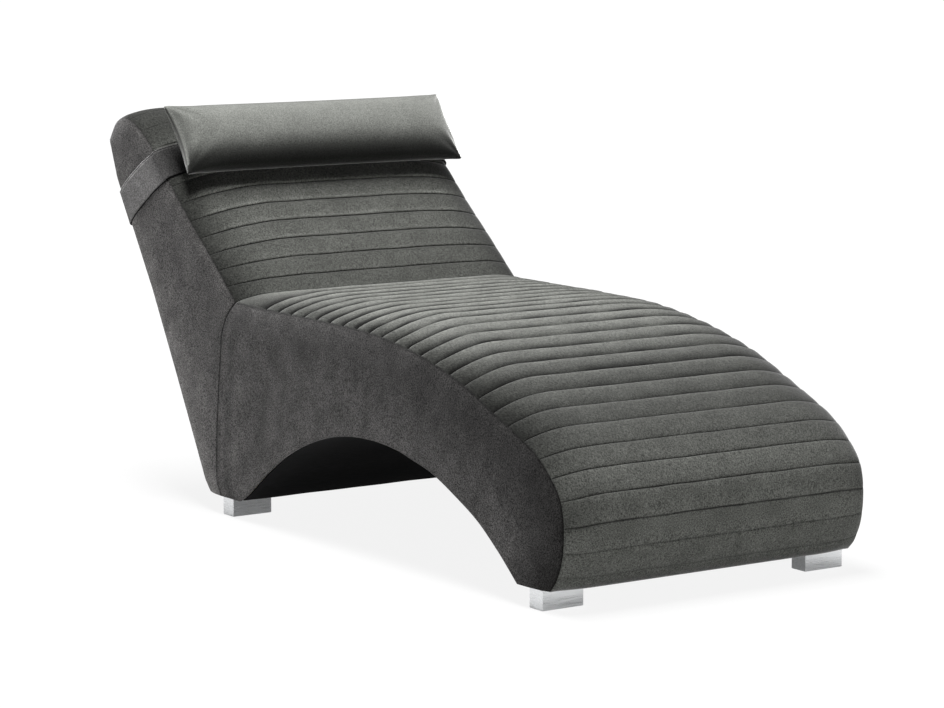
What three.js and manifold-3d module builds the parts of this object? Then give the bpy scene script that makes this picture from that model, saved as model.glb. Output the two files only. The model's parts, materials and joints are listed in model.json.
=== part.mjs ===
// Upholstered chaise longue: a wooden frame with an arch between its legs, foam and
// wadding on top, a cover quilted in cross channels, smooth side panels, four metal
// block feet and a neck pillow on a strap that slides along the backrest.
// Millimetres, +Z up. X is the width, the foot end is at -Y and the backrest at +Y.
// The left side is the one at -X, as seen from the foot end.
import * as THREE from "three";
import { mergeVertices } from "three/addons/utils/BufferGeometryUtils.js";
import Module from "manifold-3d";

const wasm = await Module();
wasm.setup();

// Driving sizes
const seatLength = 1133; // foot end to the crease below the backrest
const backReach = 526; // crease to the rearmost point
const seamWidth = 696; // between the two seams along the lying surface
const seatHeight = 444; // floor to the seam beside the seat
const backRise = 352; // seam beside the seat to the seam on top of the backrest
const footHeight = 38;
const fit = 0.3; // gap between pieces that touch
const cutOverrun = 5; // how far a cutting solid runs past what it cuts

// Upholstery
const coverThickness = 5;
const foamThickness = 40;
const waddingThickness = 9;
const deckThickness = 3; // webbing and hardboard
const webbingChannels = 2; // width of an elastic strap
const webbingStepChannels = 4; // from one strap to the next
const crown = 14; // rise of the lying surface over its side seams
const crownWidth = 90; // width over which it rises
const creaseReach = 34; // length over which the crown comes down to a crease
const channelPitch = 49;
const channelDepth = 2.4; // seam between two channels, below the crown
const channelLip = 1; // folded edge of a channel, above the crown
const sideCrown = 10; // bulge of a side panel
const sideCrownBand = 14;
const sideEdge = 6; // side panel's thickness at its seam
const sideFoamThickness = 10;
const archClothThickness = 3;
const baseClothThickness = 2;

// Wooden frame
const boardThickness = 18;
const railThickness = 20;
const railDepth = 60;
const kickThickness = 12;
const kickHeight = 100;
const plateThickness = 12;
const plateLength = 180;
const plateHeight = 110;
const frontBoardDepth = 74;
const frontBoardLead = 14; // past the front feet towards the foot end
const rearBoardDepth = 96;
const spliceSetback = 72; // crease to the joint of the side's two boards
const spliceDrop = 9; // bottom of the seat rails to the top of the splice plate
const topRailDepth = 45;

// Arch between the legs
const archStart = 131; // foot end to the front of the arch
const archSetback = 22; // crease to the rear of the arch
const archRise = 195;

// Feet and their fasteners
const footWidth = 90;
const footDepth = 40;
const footProud = 2; // how far a foot stands out past the seam above it
const frontFootInset = 61; // foot end to the front feet
const rearFootOffset = 14; // crease to the rear feet, towards the backrest
const footBevel = 1;
const studRadius = 4;
const studGrip = 20; // length inside the foot
const studEnd = 9; // length past the nut's flange
const nutFlangeRadius = 8;
const nutFlange = 1.5;
const nutBarrelRadius = 5.2;
const nutBarrel = 10;
const clothHoleRadius = 6.5;

// Neck pillow and its strap
const pillowSetback = 6; // seam of the seat to the end of the pillow
const pillowWidth = 157;
const pillowFront = 50; // thickness before its seam
const pillowRear = 50; // thickness behind its seam
const pillowSeam = 4; // thickness at its seam
const pillowPinch = 9; // how far its edges draw in between the corners
const pillowPlaceShare = 0.859; // of the straight front of the backrest, to its middle
const pillowTurn = THREE.MathUtils.degToRad(12); // how much steeper it stands than the backrest
const strapWidth = 80;
const strapThickness = 2;
const strapClearance = 1; // over the lying surface, so that it slides
const strapWrap = 6; // how far the front band turns down over the side seam
const strapFrontShare = 0.861; // of the straight front, to the middle of the band
const strapRearShare = 0.27; // of the straight upper rear, to the middle of the band

// Colours
const colours = {
  velvet: { color: 0x4b4c4a, roughness: 0.9, metalness: 0 },
  pillowVelvet: { color: 0x5a5b57, roughness: 0.85, metalness: 0 },
  lining: { color: 0x1c1c1d, roughness: 0.95, metalness: 0 },
  foam: { color: 0xd9d2b8, roughness: 0.95, metalness: 0 },
  wadding: { color: 0xe8e8e4, roughness: 1, metalness: 0 },
  plywood: { color: 0xc7a36b, roughness: 0.7, metalness: 0 },
  hardboard: { color: 0x8a6242, roughness: 0.75, metalness: 0 },
  webbing: { color: 0x2c2f33, roughness: 0.9, metalness: 0 },
  chrome: { color: 0xc9cbce, roughness: 0.18, metalness: 1 },
  steel: { color: 0x9a9da1, roughness: 0.4, metalness: 1 },
};

// Places worked out from the sizes
const fabricBottom = footHeight + fit;
const seamHalf = seamWidth / 2;
const archLength = seatLength - archStart - archSetback;
const pillowLength = seamWidth - 2 * pillowSetback;
const sidePanelInside = seamHalf - sideEdge;
const sideFoamOutside = sidePanelInside - fit;
const boardOutside = sideFoamOutside - sideFoamThickness - fit;
const boardInside = boardOutside - boardThickness;
const railHalf = boardInside - fit;
const seatRise = seatHeight - fabricBottom;
const backHeight = seatHeight + backRise;
const backFullRise = backHeight - fabricBottom;
const foamOutside = coverThickness + fit;
const deckOutside = foamOutside + foamThickness + fit;
const boardUnderDeck = deckOutside + deckThickness + fit;
const rearPanelOutside = foamOutside + waddingThickness + fit;
const boardUnderWadding = rearPanelOutside + deckThickness + fit;
const boardUnderCover = foamOutside + fit;
const archPanelOutside = archClothThickness + fit;
const boardOverArch = archPanelOutside + deckThickness + fit;
const boardBottom = fabricBottom + baseClothThickness + fit;
const boardTop = boardBottom + boardThickness;

// Outlines seen from the side, as [share along, share up]
const seatShares = [
  [0.036, 0], [0.0185, 0.059], [0.0045, 0.153], [0, 0.256], [0.0026, 0.355], [0.013, 0.438],
  [0.036, 0.517], [0.067, 0.594], [0.102, 0.653], [0.1465, 0.712], [0.1995, 0.773],
  [0.269, 0.845], [0.376, 0.921], [0.467, 0.966], [0.566, 0.993], [0.693, 1], [0.848, 1], [1, 1],
];
const straightFrontShare = [0.652, 0.87]; // end of the backrest's straight front
const topShares = [
  [0.72, 0.935], [0.8, 0.985], [0.875, 1], [0.947, 0.955], [1, 0.845],
];
const rearShares = [
  [0.939, 0.822], [0.656, 0.524], [0.471, 0.303], [0.2947, 0.0858], [0.249, 0.029], [0.209, 0],
];
const archShares = [
  [0, 0], [0.03, 0.128], [0.066, 0.272], [0.1265, 0.482], [0.195, 0.651], [0.2765, 0.82],
  [0.351, 0.913], [0.415, 0.974], [0.505, 1], [0.606, 0.959], [0.709, 0.831], [0.811, 0.615],
  [0.898, 0.349], [0.968, 0.092], [1, 0],
];
const sideSeamReach = 67; // furthest that the upright side seam leans back
const sideSeamShares = [
  [0.37, 0.919], [0.63, 0.818], [0.69, 0.719], [0.82, 0.561], [0.94, 0.371], [0.985, 0.223],
  [1, 0.066], [0.73, 0],
];
const archSegments = 20;

// Vector2 points from a table of shares
function placed(shares, originY, originZ, lengthY, lengthZ) {
  return shares.map(([y, z]) => new THREE.Vector2(originY + y * lengthY, originZ + z * lengthZ));
}

// Vectors that point out of each corner of an open or closed run of points, long
// enough that an offset by them keeps every side parallel
function mitres(points, closed) {
  const count = points.length;
  const sideNormal = (i) => {
    const a = points[(i + count) % count];
    const b = points[(i + 1) % count];
    const along = b.clone().sub(a).normalize();
    return new THREE.Vector2(-along.y, along.x);
  };
  return points.map((_, i) => {
    const before = !closed && i === 0 ? sideNormal(i) : sideNormal(i - 1);
    const after = !closed && i === count - 1 ? before : sideNormal(i);
    const middle = before.clone().add(after).normalize();
    return middle.multiplyScalar(1 / middle.dot(after));
  });
}

function offset(points, outward, distance) {
  return points.map((p, i) => p.clone().addScaledVector(outward[i], distance));
}

// The body's outline from the foot end's lower edge, over seat and backrest, down the rear
const seatCurve = new THREE.SplineCurve(placed(seatShares, 0, fabricBottom, seatLength, seatRise));
const seatChannels = Math.round(seatCurve.getLength() / channelPitch);
const crease = new THREE.Vector2(seatLength, seatHeight);
const [frontEnd] = placed([straightFrontShare], seatLength, seatHeight, backReach, backRise);
const frontSlope = frontEnd.clone().sub(crease).normalize();
const frontLength = frontEnd.distanceTo(crease);
const frontChannels = Math.round(frontLength / channelPitch);
const topCurve = new THREE.SplineCurve([
  frontEnd,
  ...placed(topShares, seatLength, seatHeight, backReach, backRise),
]);
const topChannels = Math.round(topCurve.getLength() / channelPitch);
const rearPoints = placed(rearShares, seatLength, fabricBottom, backReach, backFullRise);

const outline = [
  ...seatCurve.getSpacedPoints(seatChannels),
  ...Array.from({ length: frontChannels }, (_, i) =>
    crease.clone().lerp(frontEnd, (i + 1) / frontChannels),
  ),
  ...topCurve.getSpacedPoints(topChannels).slice(1),
  ...rearPoints,
];
const outward = mitres(outline, false);
const creaseIndex = seatChannels;
const frontEndIndex = creaseIndex + frontChannels;
const topEndIndex = frontEndIndex + topChannels;
const rearEndIndex = outline.length - 1;

const archCurve = new THREE.SplineCurve(
  placed(archShares, archStart, fabricBottom, archLength, archRise),
);
const arch = archCurve.getSpacedPoints(archSegments);
const archOutward = mitres(arch, false).map((n) => n.negate());

// A run of the outline moved in by a depth. Its two ends stop short by half a fit.
function run(from, to, depth) {
  const points = outline.slice(from, to + 1);
  const moved = offset(points, outward.slice(from, to + 1), -depth);
  const trim = (end, next) => {
    const back = points[next].clone().sub(points[end]).setLength(fit / 2);
    moved[end].add(back);
  };
  trim(0, 1);
  trim(moved.length - 1, moved.length - 2);
  return moved;
}

// Solids made from outlines in the YZ plane, extruded along X
const sideways = new THREE.Matrix4().makeBasis(
  new THREE.Vector3(0, 1, 0),
  new THREE.Vector3(0, 0, 1),
  new THREE.Vector3(1, 0, 0),
);

function slab(points, fromX, toX) {
  const shape = new THREE.Shape(points);
  const geometry = new THREE.ExtrudeGeometry(shape, { depth: toX - fromX, bevelEnabled: false });
  geometry.translate(0, 0, fromX);
  return geometry.applyMatrix4(sideways);
}

// A layer of the upholstery or the deck between two depths below the outline
function layer(from, to, outerDepth, innerDepth, halfWidth) {
  const points = [...run(from, to, outerDepth), ...run(from, to, innerDepth).reverse()];
  return slab(points, -halfWidth, halfWidth);
}

// A layer over the arch between two depths behind its face
function archLayer(outerDepth, innerDepth, halfWidth) {
  const level = (points) => {
    const first = points[0];
    const last = points[points.length - 1];
    first.y = Math.max(first.y, fabricBottom);
    last.y = Math.max(last.y, fabricBottom);
    return points;
  };
  const outer = level(offset(arch, archOutward, -outerDepth));
  const inner = level(offset(arch, archOutward, -innerDepth));
  return slab([...outer, ...inner.reverse()], -halfWidth, halfWidth);
}

// Triangles collected by hand into one closed body
class Body {
  constructor() {
    this.positions = [];
    this.indices = [];
  }
  add({ x, y, z }) {
    this.positions.push(x, y, z);
    return this.positions.length / 3 - 1;
  }
  triangle(a, b, c) {
    this.indices.push(a, b, c);
  }
  quad(a, b, c, d) {
    this.triangle(a, b, c);
    this.triangle(a, c, d);
  }
  grid(rows) {
    for (let row = 0; row + 1 < rows.length; row += 1) {
      for (let column = 0; column + 1 < rows[row].length; column += 1) {
        const [a, b] = [rows[row][column], rows[row][column + 1]];
        this.quad(a, b, rows[row + 1][column + 1], rows[row + 1][column]);
      }
    }
  }
  geometry() {
    const geometry = new THREE.BufferGeometry();
    geometry.setAttribute("position", new THREE.Float32BufferAttribute(this.positions, 3));
    geometry.setIndex(this.indices);
    geometry.computeVertexNormals();
    return geometry;
  }
}

// Cuts and joins
function solidOf(geometry) {
  const bare = geometry.clone();
  bare.deleteAttribute("normal");
  bare.deleteAttribute("uv");
  const merged = mergeVertices(bare);
  return new wasm.Manifold(
    new wasm.Mesh({
      numProp: 3,
      vertProperties: merged.attributes.position.array,
      triVerts: merged.index.array,
    }),
  );
}

function geometryOf(solid) {
  const { vertProperties, triVerts } = solid.getMesh();
  const geometry = new THREE.BufferGeometry();
  geometry.setAttribute("position", new THREE.BufferAttribute(vertProperties, 3));
  geometry.setIndex(new THREE.BufferAttribute(triVerts, 1));
  geometry.computeVertexNormals();
  return geometry;
}

function cut(geometry, ...cutters) {
  const left = cutters.reduce((rest, cutter) => rest.subtract(solidOf(cutter)), solidOf(geometry));
  return geometryOf(left);
}

function uprightCylinder(radius, bottom, top) {
  const facets = 16;
  const geometry = new THREE.CylinderGeometry(radius, radius, top - bottom, facets);
  geometry.rotateX(Math.PI / 2);
  return geometry.translate(0, 0, (top + bottom) / 2);
}

// The scene graph
const lounger = new THREE.Group();

function add(name, geometry, colour, parent = lounger) {
  const mesh = new THREE.Mesh(geometry, new THREE.MeshStandardMaterial(colours[colour]));
  mesh.name = name;
  parent.add(mesh);
  return mesh;
}

const sides = [
  { name: "left", sign: -1 },
  { name: "right", sign: 1 },
];

// The crown across the width: how far in from the side seam, as a share of its band,
// and the rise there, as a share of the crown
const crownColumnShares = [0, 0.12, 0.45, 1];
const crownRise = (share) => Math.sqrt(1 - (1 - share) ** 2);

function crownColumns() {
  const half = crownColumnShares.map((share) => ({
    x: seamHalf - share * crownWidth,
    rise: crownRise(share),
  }));
  const left = half.map(({ x, rise }) => ({ x: -x, rise }));
  return [...left, ...half.reverse()];
}

// Rows of one channel along the lying surface: a sewn valley, the lip of the fold
// above it and the flat of the channel
const channelRows = [
  { share: 0, height: -channelDepth },
  { share: 0.08, height: channelLip },
  { share: 0.5, height: channelLip / 2 },
];

// The outline between its corners, where the place is a corner's number plus a share of
// the channel that starts there
function outlineAt(place) {
  if (place <= creaseIndex) {
    const share = place / seatChannels;
    return { at: seatCurve.getPointAt(share), along: seatCurve.getTangentAt(share) };
  }
  if (place <= frontEndIndex) {
    const share = (place - creaseIndex) / frontChannels;
    return { at: crease.clone().lerp(frontEnd, share), along: frontSlope };
  }
  const share = (place - frontEndIndex) / topChannels;
  return { at: topCurve.getPointAt(share), along: topCurve.getTangentAt(share) };
}

// A point of the lying surface's outer face, lifted square to the outline
function lifted(place, x, lift) {
  const { at, along } = outlineAt(place);
  return new THREE.Vector3(x, at.x - along.y * lift, at.y + along.x * lift);
}

// A quilted cover between two corners of the outline. The outer face carries the crown
// and the channels, the inner face is flat across.
function quilt(from, to) {
  const columns = crownColumns();
  const last = columns.length - 1;
  const body = new Body();
  const inner = run(from, to, coverThickness);
  const endTrim = fit / 2 / channelPitch;
  const outerRow = (channel, { share, height }) => {
    const place = THREE.MathUtils.clamp(channel + share, from + endTrim, to - endTrim);
    const toEnd = (Math.min(place - from, to - place) - endTrim) * channelPitch;
    const rise = crownRise(THREE.MathUtils.clamp(toEnd / creaseReach, 0, 1));
    return columns.map((column) => {
      const lift = rise * (crown * column.rise + (column.rise > 0 ? height : 0));
      return body.add(lifted(place, column.x, lift));
    });
  };
  const outerRows = [];
  const innerRows = [];
  for (let channel = from; channel <= to; channel += 1) {
    const rows = channel < to ? channelRows : [channelRows[0]];
    outerRows.push(...rows.map((row) => outerRow(channel, row)));
    const { x: y, y: z } = inner[channel - from];
    innerRows.push([-seamHalf, seamHalf].map((x) => body.add(new THREE.Vector3(x, y, z))));
  }
  body.grid(outerRows);
  for (let channel = 0; channel < to - from; channel += 1) {
    const [a, b] = innerRows[channel];
    const [d, c] = innerRows[channel + 1];
    body.quad(a, d, c, b);
    const first = channel * channelRows.length;
    const end = first + channelRows.length;
    for (let row = first; row < end; row += 1) {
      body.triangle(a, outerRows[row][0], outerRows[row + 1][0]);
      body.triangle(b, outerRows[row + 1][last], outerRows[row][last]);
    }
    body.triangle(a, outerRows[end][0], d);
    body.triangle(b, c, outerRows[end][last]);
  }
  const cap = (outer, [a, b], order) => {
    for (let column = 0; column < last; column += 1) {
      body.triangle(...order([a, outer[column + 1], outer[column]]));
    }
    body.triangle(...order([a, b, outer[last]]));
  };
  cap(outerRows[0], innerRows[0], (corners) => corners);
  cap(outerRows[outerRows.length - 1], innerRows[to - from], (corners) => corners.reverse());
  return body.geometry();
}

// A closed body between an outer and an inner grid of points
function closedSheet(outerPoints, innerPoints) {
  const body = new Body();
  const outer = outerPoints.map((row) => row.map((point) => body.add(point)));
  const inner = innerPoints.map((row) => row.map((point) => body.add(point)));
  body.grid(outer);
  body.grid(inner.map((row) => [...row].reverse()));
  const lastRow = outer.length - 1;
  const lastColumn = outer[0].length - 1;
  for (let row = 0; row < lastRow; row += 1) {
    body.quad(outer[row][0], outer[row + 1][0], inner[row + 1][0], inner[row][0]);
    const [a, b] = [outer[row][lastColumn], outer[row + 1][lastColumn]];
    body.quad(b, a, inner[row][lastColumn], inner[row + 1][lastColumn]);
  }
  for (let column = 0; column < lastColumn; column += 1) {
    body.quad(outer[0][column + 1], outer[0][column], inner[0][column], inner[0][column + 1]);
    const [a, b] = [outer[lastRow][column], outer[lastRow][column + 1]];
    body.quad(a, b, inner[lastRow][column + 1], inner[lastRow][column]);
  }
  return body.geometry();
}

// A side panel that bulges outward away from its edges
function crownedPanel(points, sign) {
  const edge = THREE.ShapeUtils.isClockWise(points) ? [...points].reverse() : points;
  const inset = offset(edge, mitres(edge, true), sideCrownBand);
  const body = new Body();
  const ring = (corners, x) => corners.map((p) => body.add(new THREE.Vector3(sign * x, p.x, p.y)));
  const rings = [
    ring(edge, sidePanelInside),
    ring(edge, seamHalf),
    ring(inset, seamHalf + sideCrown),
  ];
  const put = (corners, inward) => body.triangle(...(inward ? corners.reverse() : corners));
  const mirrored = sign < 0;
  for (let i = 0; i < edge.length; i += 1) {
    const next = (i + 1) % edge.length;
    [0, 1].forEach((low) => {
      const high = low + 1;
      put([rings[low][i], rings[low][next], rings[high][next]], mirrored);
      put([rings[low][i], rings[high][next], rings[high][i]], mirrored);
    });
  }
  const cap = (corners, vertices, inward) =>
    THREE.ShapeUtils.triangulateShape(corners, []).forEach((triangle) => {
      put(triangle.map((i) => vertices[i]), inward);
    });
  cap(inset, rings[2], mirrored);
  cap(edge, rings[0], !mirrored);
  return body.geometry();
}

// Moves the end of a run along its last side, down to a level
function toLevel(points, level) {
  const end = points.length - 1;
  const [a, b] = [points[end - 1], points[end]];
  points[end] = a.clone().lerp(b, (level - a.y) / (b.y - a.y));
  return points;
}

function startAtLevel(points, level) {
  return toLevel([...points].reverse(), level).reverse();
}

// Outlines of the side panels, which lie inside the covers
const sideSeam = placed(
  sideSeamShares,
  seatLength,
  fabricBottom,
  sideSeamReach,
  seatHeight - foamOutside - fabricBottom,
);
const sideSeamBack = mitres(sideSeam, false);
const seatPanel = [
  ...startAtLevel(run(0, creaseIndex, foamOutside), fabricBottom),
  ...toLevel(offset(sideSeam, sideSeamBack, -fit / 2), fabricBottom),
  ...[...arch].reverse(),
];
const backPanel = [
  ...toLevel(run(creaseIndex, rearEndIndex, foamOutside), fabricBottom),
  ...toLevel(offset(sideSeam, sideSeamBack, fit / 2), fabricBottom).reverse(),
];

// Where the layers below the covers start and end, as corners of the outline
const noseShare = 0.21; // of the seat, to the end of the stiff panel under the nose
const foamStart = 1;
const noseEnd = Math.round(noseShare * seatChannels);
const backFoamEnd = topEndIndex - 2;
const waddingEnd = rearEndIndex - 1;
const rearPanelStart = topEndIndex;
const rearPanelEnd = rearEndIndex - 2;

// Outline of the wooden side, with steps where the layers over it change
const boardArch = offset(arch, archOutward, -boardOverArch);
const boardOutline = [
  ...startAtLevel(run(0, foamStart, boardUnderCover), boardBottom),
  ...run(foamStart, backFoamEnd, boardUnderDeck),
  ...toLevel(run(backFoamEnd, rearEndIndex, boardUnderWadding), boardBottom),
  ...startAtLevel(toLevel(boardArch, boardBottom), boardBottom).reverse(),
];

function addCovers() {
  add("seat_quilt", quilt(0, creaseIndex), "velvet");
  add("back_quilt", quilt(creaseIndex, topEndIndex), "velvet");
  add("rear_cover", layer(topEndIndex, rearEndIndex, 0, coverThickness, seamHalf), "velvet");
  add("arch_cover", archLayer(0, archClothThickness, sideFoamOutside), "lining");
  sides.forEach(({ name, sign }) => {
    add(`side_cover_seat_${name}`, crownedPanel(seatPanel, sign), "velvet");
    add(`side_cover_back_${name}`, crownedPanel(backPanel, sign), "velvet");
  });
}

function addPadding() {
  const foam = (from, to) =>
    layer(from, to, foamOutside, foamOutside + foamThickness, sideFoamOutside);
  add("seat_foam", foam(foamStart, creaseIndex), "foam");
  add("back_foam", foam(creaseIndex, backFoamEnd), "foam");
  const wadding = [backFoamEnd, waddingEnd, foamOutside, foamOutside + waddingThickness];
  add("rear_wadding", layer(...wadding, sideFoamOutside), "wadding");
  sides.forEach(({ name, sign }) => {
    const [low, high] = [boardOutside + fit, sideFoamOutside];
    const reach = sign > 0 ? [low, high] : [-high, -low];
    add(`side_foam_${name}`, slab(boardOutline, ...reach), "foam");
  });
}

// Elastic straps and bent hardboard between the wooden sides
function addDeck() {
  const deckInside = deckOutside + deckThickness;
  add("nose_panel", layer(foamStart, noseEnd, deckOutside, deckInside, boardOutside), "hardboard");
  const archInside = archPanelOutside + deckThickness;
  add("arch_panel", archLayer(archPanelOutside, archInside, boardOutside), "hardboard");
  const panelInside = rearPanelOutside + deckThickness;
  const rearPanel = layer(rearPanelStart, rearPanelEnd, rearPanelOutside, panelInside, boardOutside);
  add("rear_panel", rearPanel, "hardboard");
  const addStraps = (name, from, to) => {
    for (let start = from, count = 1; start + webbingChannels <= to; count += 1) {
      const strap = layer(start, start + webbingChannels, deckOutside, deckInside, boardOutside);
      add(`${name}_${count}`, strap, "webbing");
      start += webbingStepChannels;
    }
  };
  addStraps("seat_webbing", noseEnd + 1, creaseIndex);
  addStraps("back_webbing", creaseIndex + 1, backFoamEnd);
}

// Where a cross rail stands square under the outline: a place along it, in corners
function railPlace(place, depth) {
  const corner = Math.floor(place);
  const [a, b] = [outline[corner], outline[corner + 1]];
  const along = b.clone().sub(a).normalize();
  const at = a.clone().lerp(b, place - corner);
  return {
    position: new THREE.Vector3(0, at.x + along.y * depth, at.y - along.x * depth),
    angle: Math.atan2(along.y, along.x),
  };
}

function addRail(name, place, topDepth, height) {
  const geometry = new THREE.BoxGeometry(2 * railHalf, railThickness, height);
  const rail = add(name, geometry, "plywood");
  const { position, angle } = railPlace(place, topDepth + height / 2);
  rail.position.copy(position);
  rail.rotation.x = angle;
}

function addBox(name, width, y, z, colour) {
  const geometry = new THREE.BoxGeometry(width, y[1] - y[0], z[1] - z[0]);
  const box = add(name, geometry, colour);
  box.position.set(0, (y[0] + y[1]) / 2, (z[0] + z[1]) / 2);
  return box;
}

const footCentres = [
  { name: "front", y: frontFootInset + footDepth / 2 },
  { name: "rear", y: seatLength + rearFootOffset + footDepth / 2 },
];
const footX = seamHalf + footProud - footWidth / 2;

// A flat piece under the body with a hole for the stud of each foot of a pair
function drilled(half, y, z, footY, radius) {
  const geometry = new THREE.BoxGeometry(2 * half, y[1] - y[0], z[1] - z[0]);
  geometry.translate(0, (y[0] + y[1]) / 2, (z[0] + z[1]) / 2);
  const holes = sides.map(({ sign }) =>
    uprightCylinder(radius, z[0] - cutOverrun, z[1] + cutOverrun).translate(sign * footX, footY, 0),
  );
  return cut(geometry, ...holes);
}

function addFrame() {
  const spliceY = seatLength - spliceSetback;
  const spliceTop = seatHeight - boardUnderDeck - railDepth - spliceDrop;
  sides.forEach(({ name, sign }) => {
    const reach = sign > 0 ? [boardInside, boardOutside] : [-boardOutside, -boardInside];
    const board = slab(boardOutline, ...reach);
    const span = seatLength + backReach;
    const beyond = (direction) => {
      const block = new THREE.BoxGeometry(seamWidth + cutOverrun, span, 2 * backHeight);
      return block.translate(0, spliceY + direction * (span / 2 - fit / 2), backHeight / 2);
    };
    add(`side_board_seat_${name}`, cut(board, beyond(1)), "plywood");
    add(`side_board_back_${name}`, cut(board, beyond(-1)), "plywood");
    const plate = new THREE.BoxGeometry(plateThickness, plateLength, plateHeight);
    const splice = add(`splice_plate_${name}`, plate, "plywood");
    const plateX = boardInside - fit - plateThickness / 2;
    splice.position.set(sign * plateX, spliceY, spliceTop - plateHeight / 2);
  });

  const [front, rear] = footCentres;
  const boardZ = [boardBottom, boardTop];
  const frontStart = frontFootInset - frontBoardLead;
  const frontY = [frontStart, frontStart + frontBoardDepth];
  const rearY = [rear.y - rearBoardDepth / 2, rear.y + rearBoardDepth / 2];
  const nutHole = nutBarrelRadius + fit;
  add("base_board_front", drilled(railHalf, frontY, boardZ, front.y, nutHole), "plywood");
  add("base_board_rear", drilled(railHalf, rearY, boardZ, rear.y, nutHole), "plywood");

  const clothZ = [fabricBottom, fabricBottom + baseClothThickness];
  const clothFrontY = [outline[0].x + foamOutside, archStart - foamOutside];
  const clothRearY = [archStart + archLength + foamOutside, outline[rearEndIndex].x - foamOutside];
  const addCloth = (name, y, footY) =>
    add(name, drilled(sideFoamOutside, y, clothZ, footY, clothHoleRadius), "lining");
  addCloth("base_cloth_front", clothFrontY, front.y);
  addCloth("base_cloth_rear", clothRearY, rear.y);

  const kickEnd = front.y - nutFlangeRadius - fit;
  const kickZ = [boardTop + fit, boardTop + fit + kickHeight];
  addBox("rail_nose_low", 2 * railHalf, [kickEnd - kickThickness, kickEnd], kickZ, "plywood");

  const seatRailShares = {
    rail_nose_top: 0.26,
    rail_seat_front: 0.44,
    rail_seat_middle: 0.69,
    rail_seat_rear: 0.93,
  };
  Object.entries(seatRailShares).forEach(([name, share]) => {
    addRail(name, Math.floor(share * seatChannels) + 0.5, boardUnderDeck, railDepth);
  });
  const backRailShares = { rail_back_low: 0.35, rail_back_high: 0.8 };
  Object.entries(backRailShares).forEach(([name, share]) => {
    const place = creaseIndex + Math.floor(share * frontChannels) + 0.5;
    addRail(name, place, boardUnderDeck, railDepth);
  });
  const lowRailShare = 0.75; // of the last side behind the rear panel
  const lowRailPlace = rearPanelEnd - 1 + lowRailShare;
  addRail("rail_top", backFoamEnd + 1.5, boardUnderWadding, topRailDepth);
  addRail("rail_rear_low", lowRailPlace, boardUnderWadding, railDepth);
}

function footBlock() {
  const half = { x: footWidth / 2 - footBevel, y: footDepth / 2 - footBevel };
  const shape = new THREE.Shape([
    new THREE.Vector2(-half.x, -half.y),
    new THREE.Vector2(half.x, -half.y),
    new THREE.Vector2(half.x, half.y),
    new THREE.Vector2(-half.x, half.y),
  ]);
  const block = new THREE.ExtrudeGeometry(shape, {
    depth: footHeight - 2 * footBevel,
    bevelThickness: footBevel,
    bevelSize: footBevel,
    bevelSegments: 1,
  });
  block.translate(0, 0, footBevel);
  const hole = uprightCylinder(studRadius + fit, footHeight - studGrip - fit, footHeight + cutOverrun);
  return cut(block, hole);
}

function teeNut() {
  const bore = studRadius + fit;
  const profile = [
    new THREE.Vector2(bore, -nutBarrel),
    new THREE.Vector2(nutBarrelRadius, -nutBarrel),
    new THREE.Vector2(nutBarrelRadius, 0),
    new THREE.Vector2(nutFlangeRadius, 0),
    new THREE.Vector2(nutFlangeRadius, nutFlange),
    new THREE.Vector2(bore, nutFlange),
    new THREE.Vector2(bore, -nutBarrel),
  ];
  const sideCount = 16;
  return new THREE.LatheGeometry(profile, sideCount).rotateX(Math.PI / 2);
}

function addFeet() {
  const nutSeat = boardTop + fit;
  const studTop = nutSeat + nutFlange + studEnd;
  footCentres.forEach((end) => {
    sides.forEach(({ name, sign }) => {
      const place = new THREE.Group();
      place.position.set(sign * footX, end.y, 0);
      lounger.add(place);
      add(`foot_${end.name}_${name}`, footBlock(), "chrome", place);
      const stud = uprightCylinder(studRadius, footHeight - studGrip, studTop);
      add(`foot_stud_${end.name}_${name}`, stud, "steel", place);
      add(`tee_nut_${end.name}_${name}`, teeNut(), "steel", place).position.z = nutSeat;
    });
  });
}

// The neck pillow: two crowned faces that meet in a seam, pointed at the corners
function pillowGeometry() {
  const columns = 12;
  const rows = 6;
  const bulge = (u, v) => Math.sqrt((1 - u ** 4) * (1 - v ** 2));
  const face = (depth, sign) =>
    Array.from({ length: rows + 1 }, (_, row) =>
      Array.from({ length: columns + 1 }, (__, column) => {
        const u = Math.sin(((column / columns) * 2 - 1) * Math.PI / 2);
        const v = Math.sin(((row / rows) * 2 - 1) * Math.PI / 2);
        const x = u * (pillowLength / 2 - pillowPinch * (1 - v ** 2));
        const y = v * (pillowWidth / 2 - pillowPinch * (1 - u ** 2));
        const z = sign * (pillowSeam / 2 + (depth - pillowSeam / 2) * bulge(u, v));
        return new THREE.Vector3(x, y, z);
      }),
    );
  return closedSheet(face(pillowFront, 1), face(pillowRear, -1));
}

// The band on the front of the backrest, between two distances above the crease
function strapFront(from, to) {
  const lift = channelLip + strapClearance;
  const base = crownColumns().map(({ x, rise }) => ({ x, lift: crown * rise + lift }));
  const wrapX = seamHalf + sideCrown + fit;
  const inner = [{ x: -wrapX, lift: -strapWrap }, ...base, { x: wrapX, lift: -strapWrap }];
  const outer = inner.map((column) =>
    column.lift < 0
      ? { x: column.x + Math.sign(column.x) * strapThickness, lift: column.lift }
      : { x: column.x, lift: column.lift + strapThickness },
  );
  const row = (distance) => (columns) =>
    columns.map((c) => lifted(creaseIndex + (distance / frontLength) * frontChannels, c.x, c.lift));
  const rows = [row(from), row(to)];
  return closedSheet(rows.map((at) => at(outer)), rows.map((at) => at(inner)));
}

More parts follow.
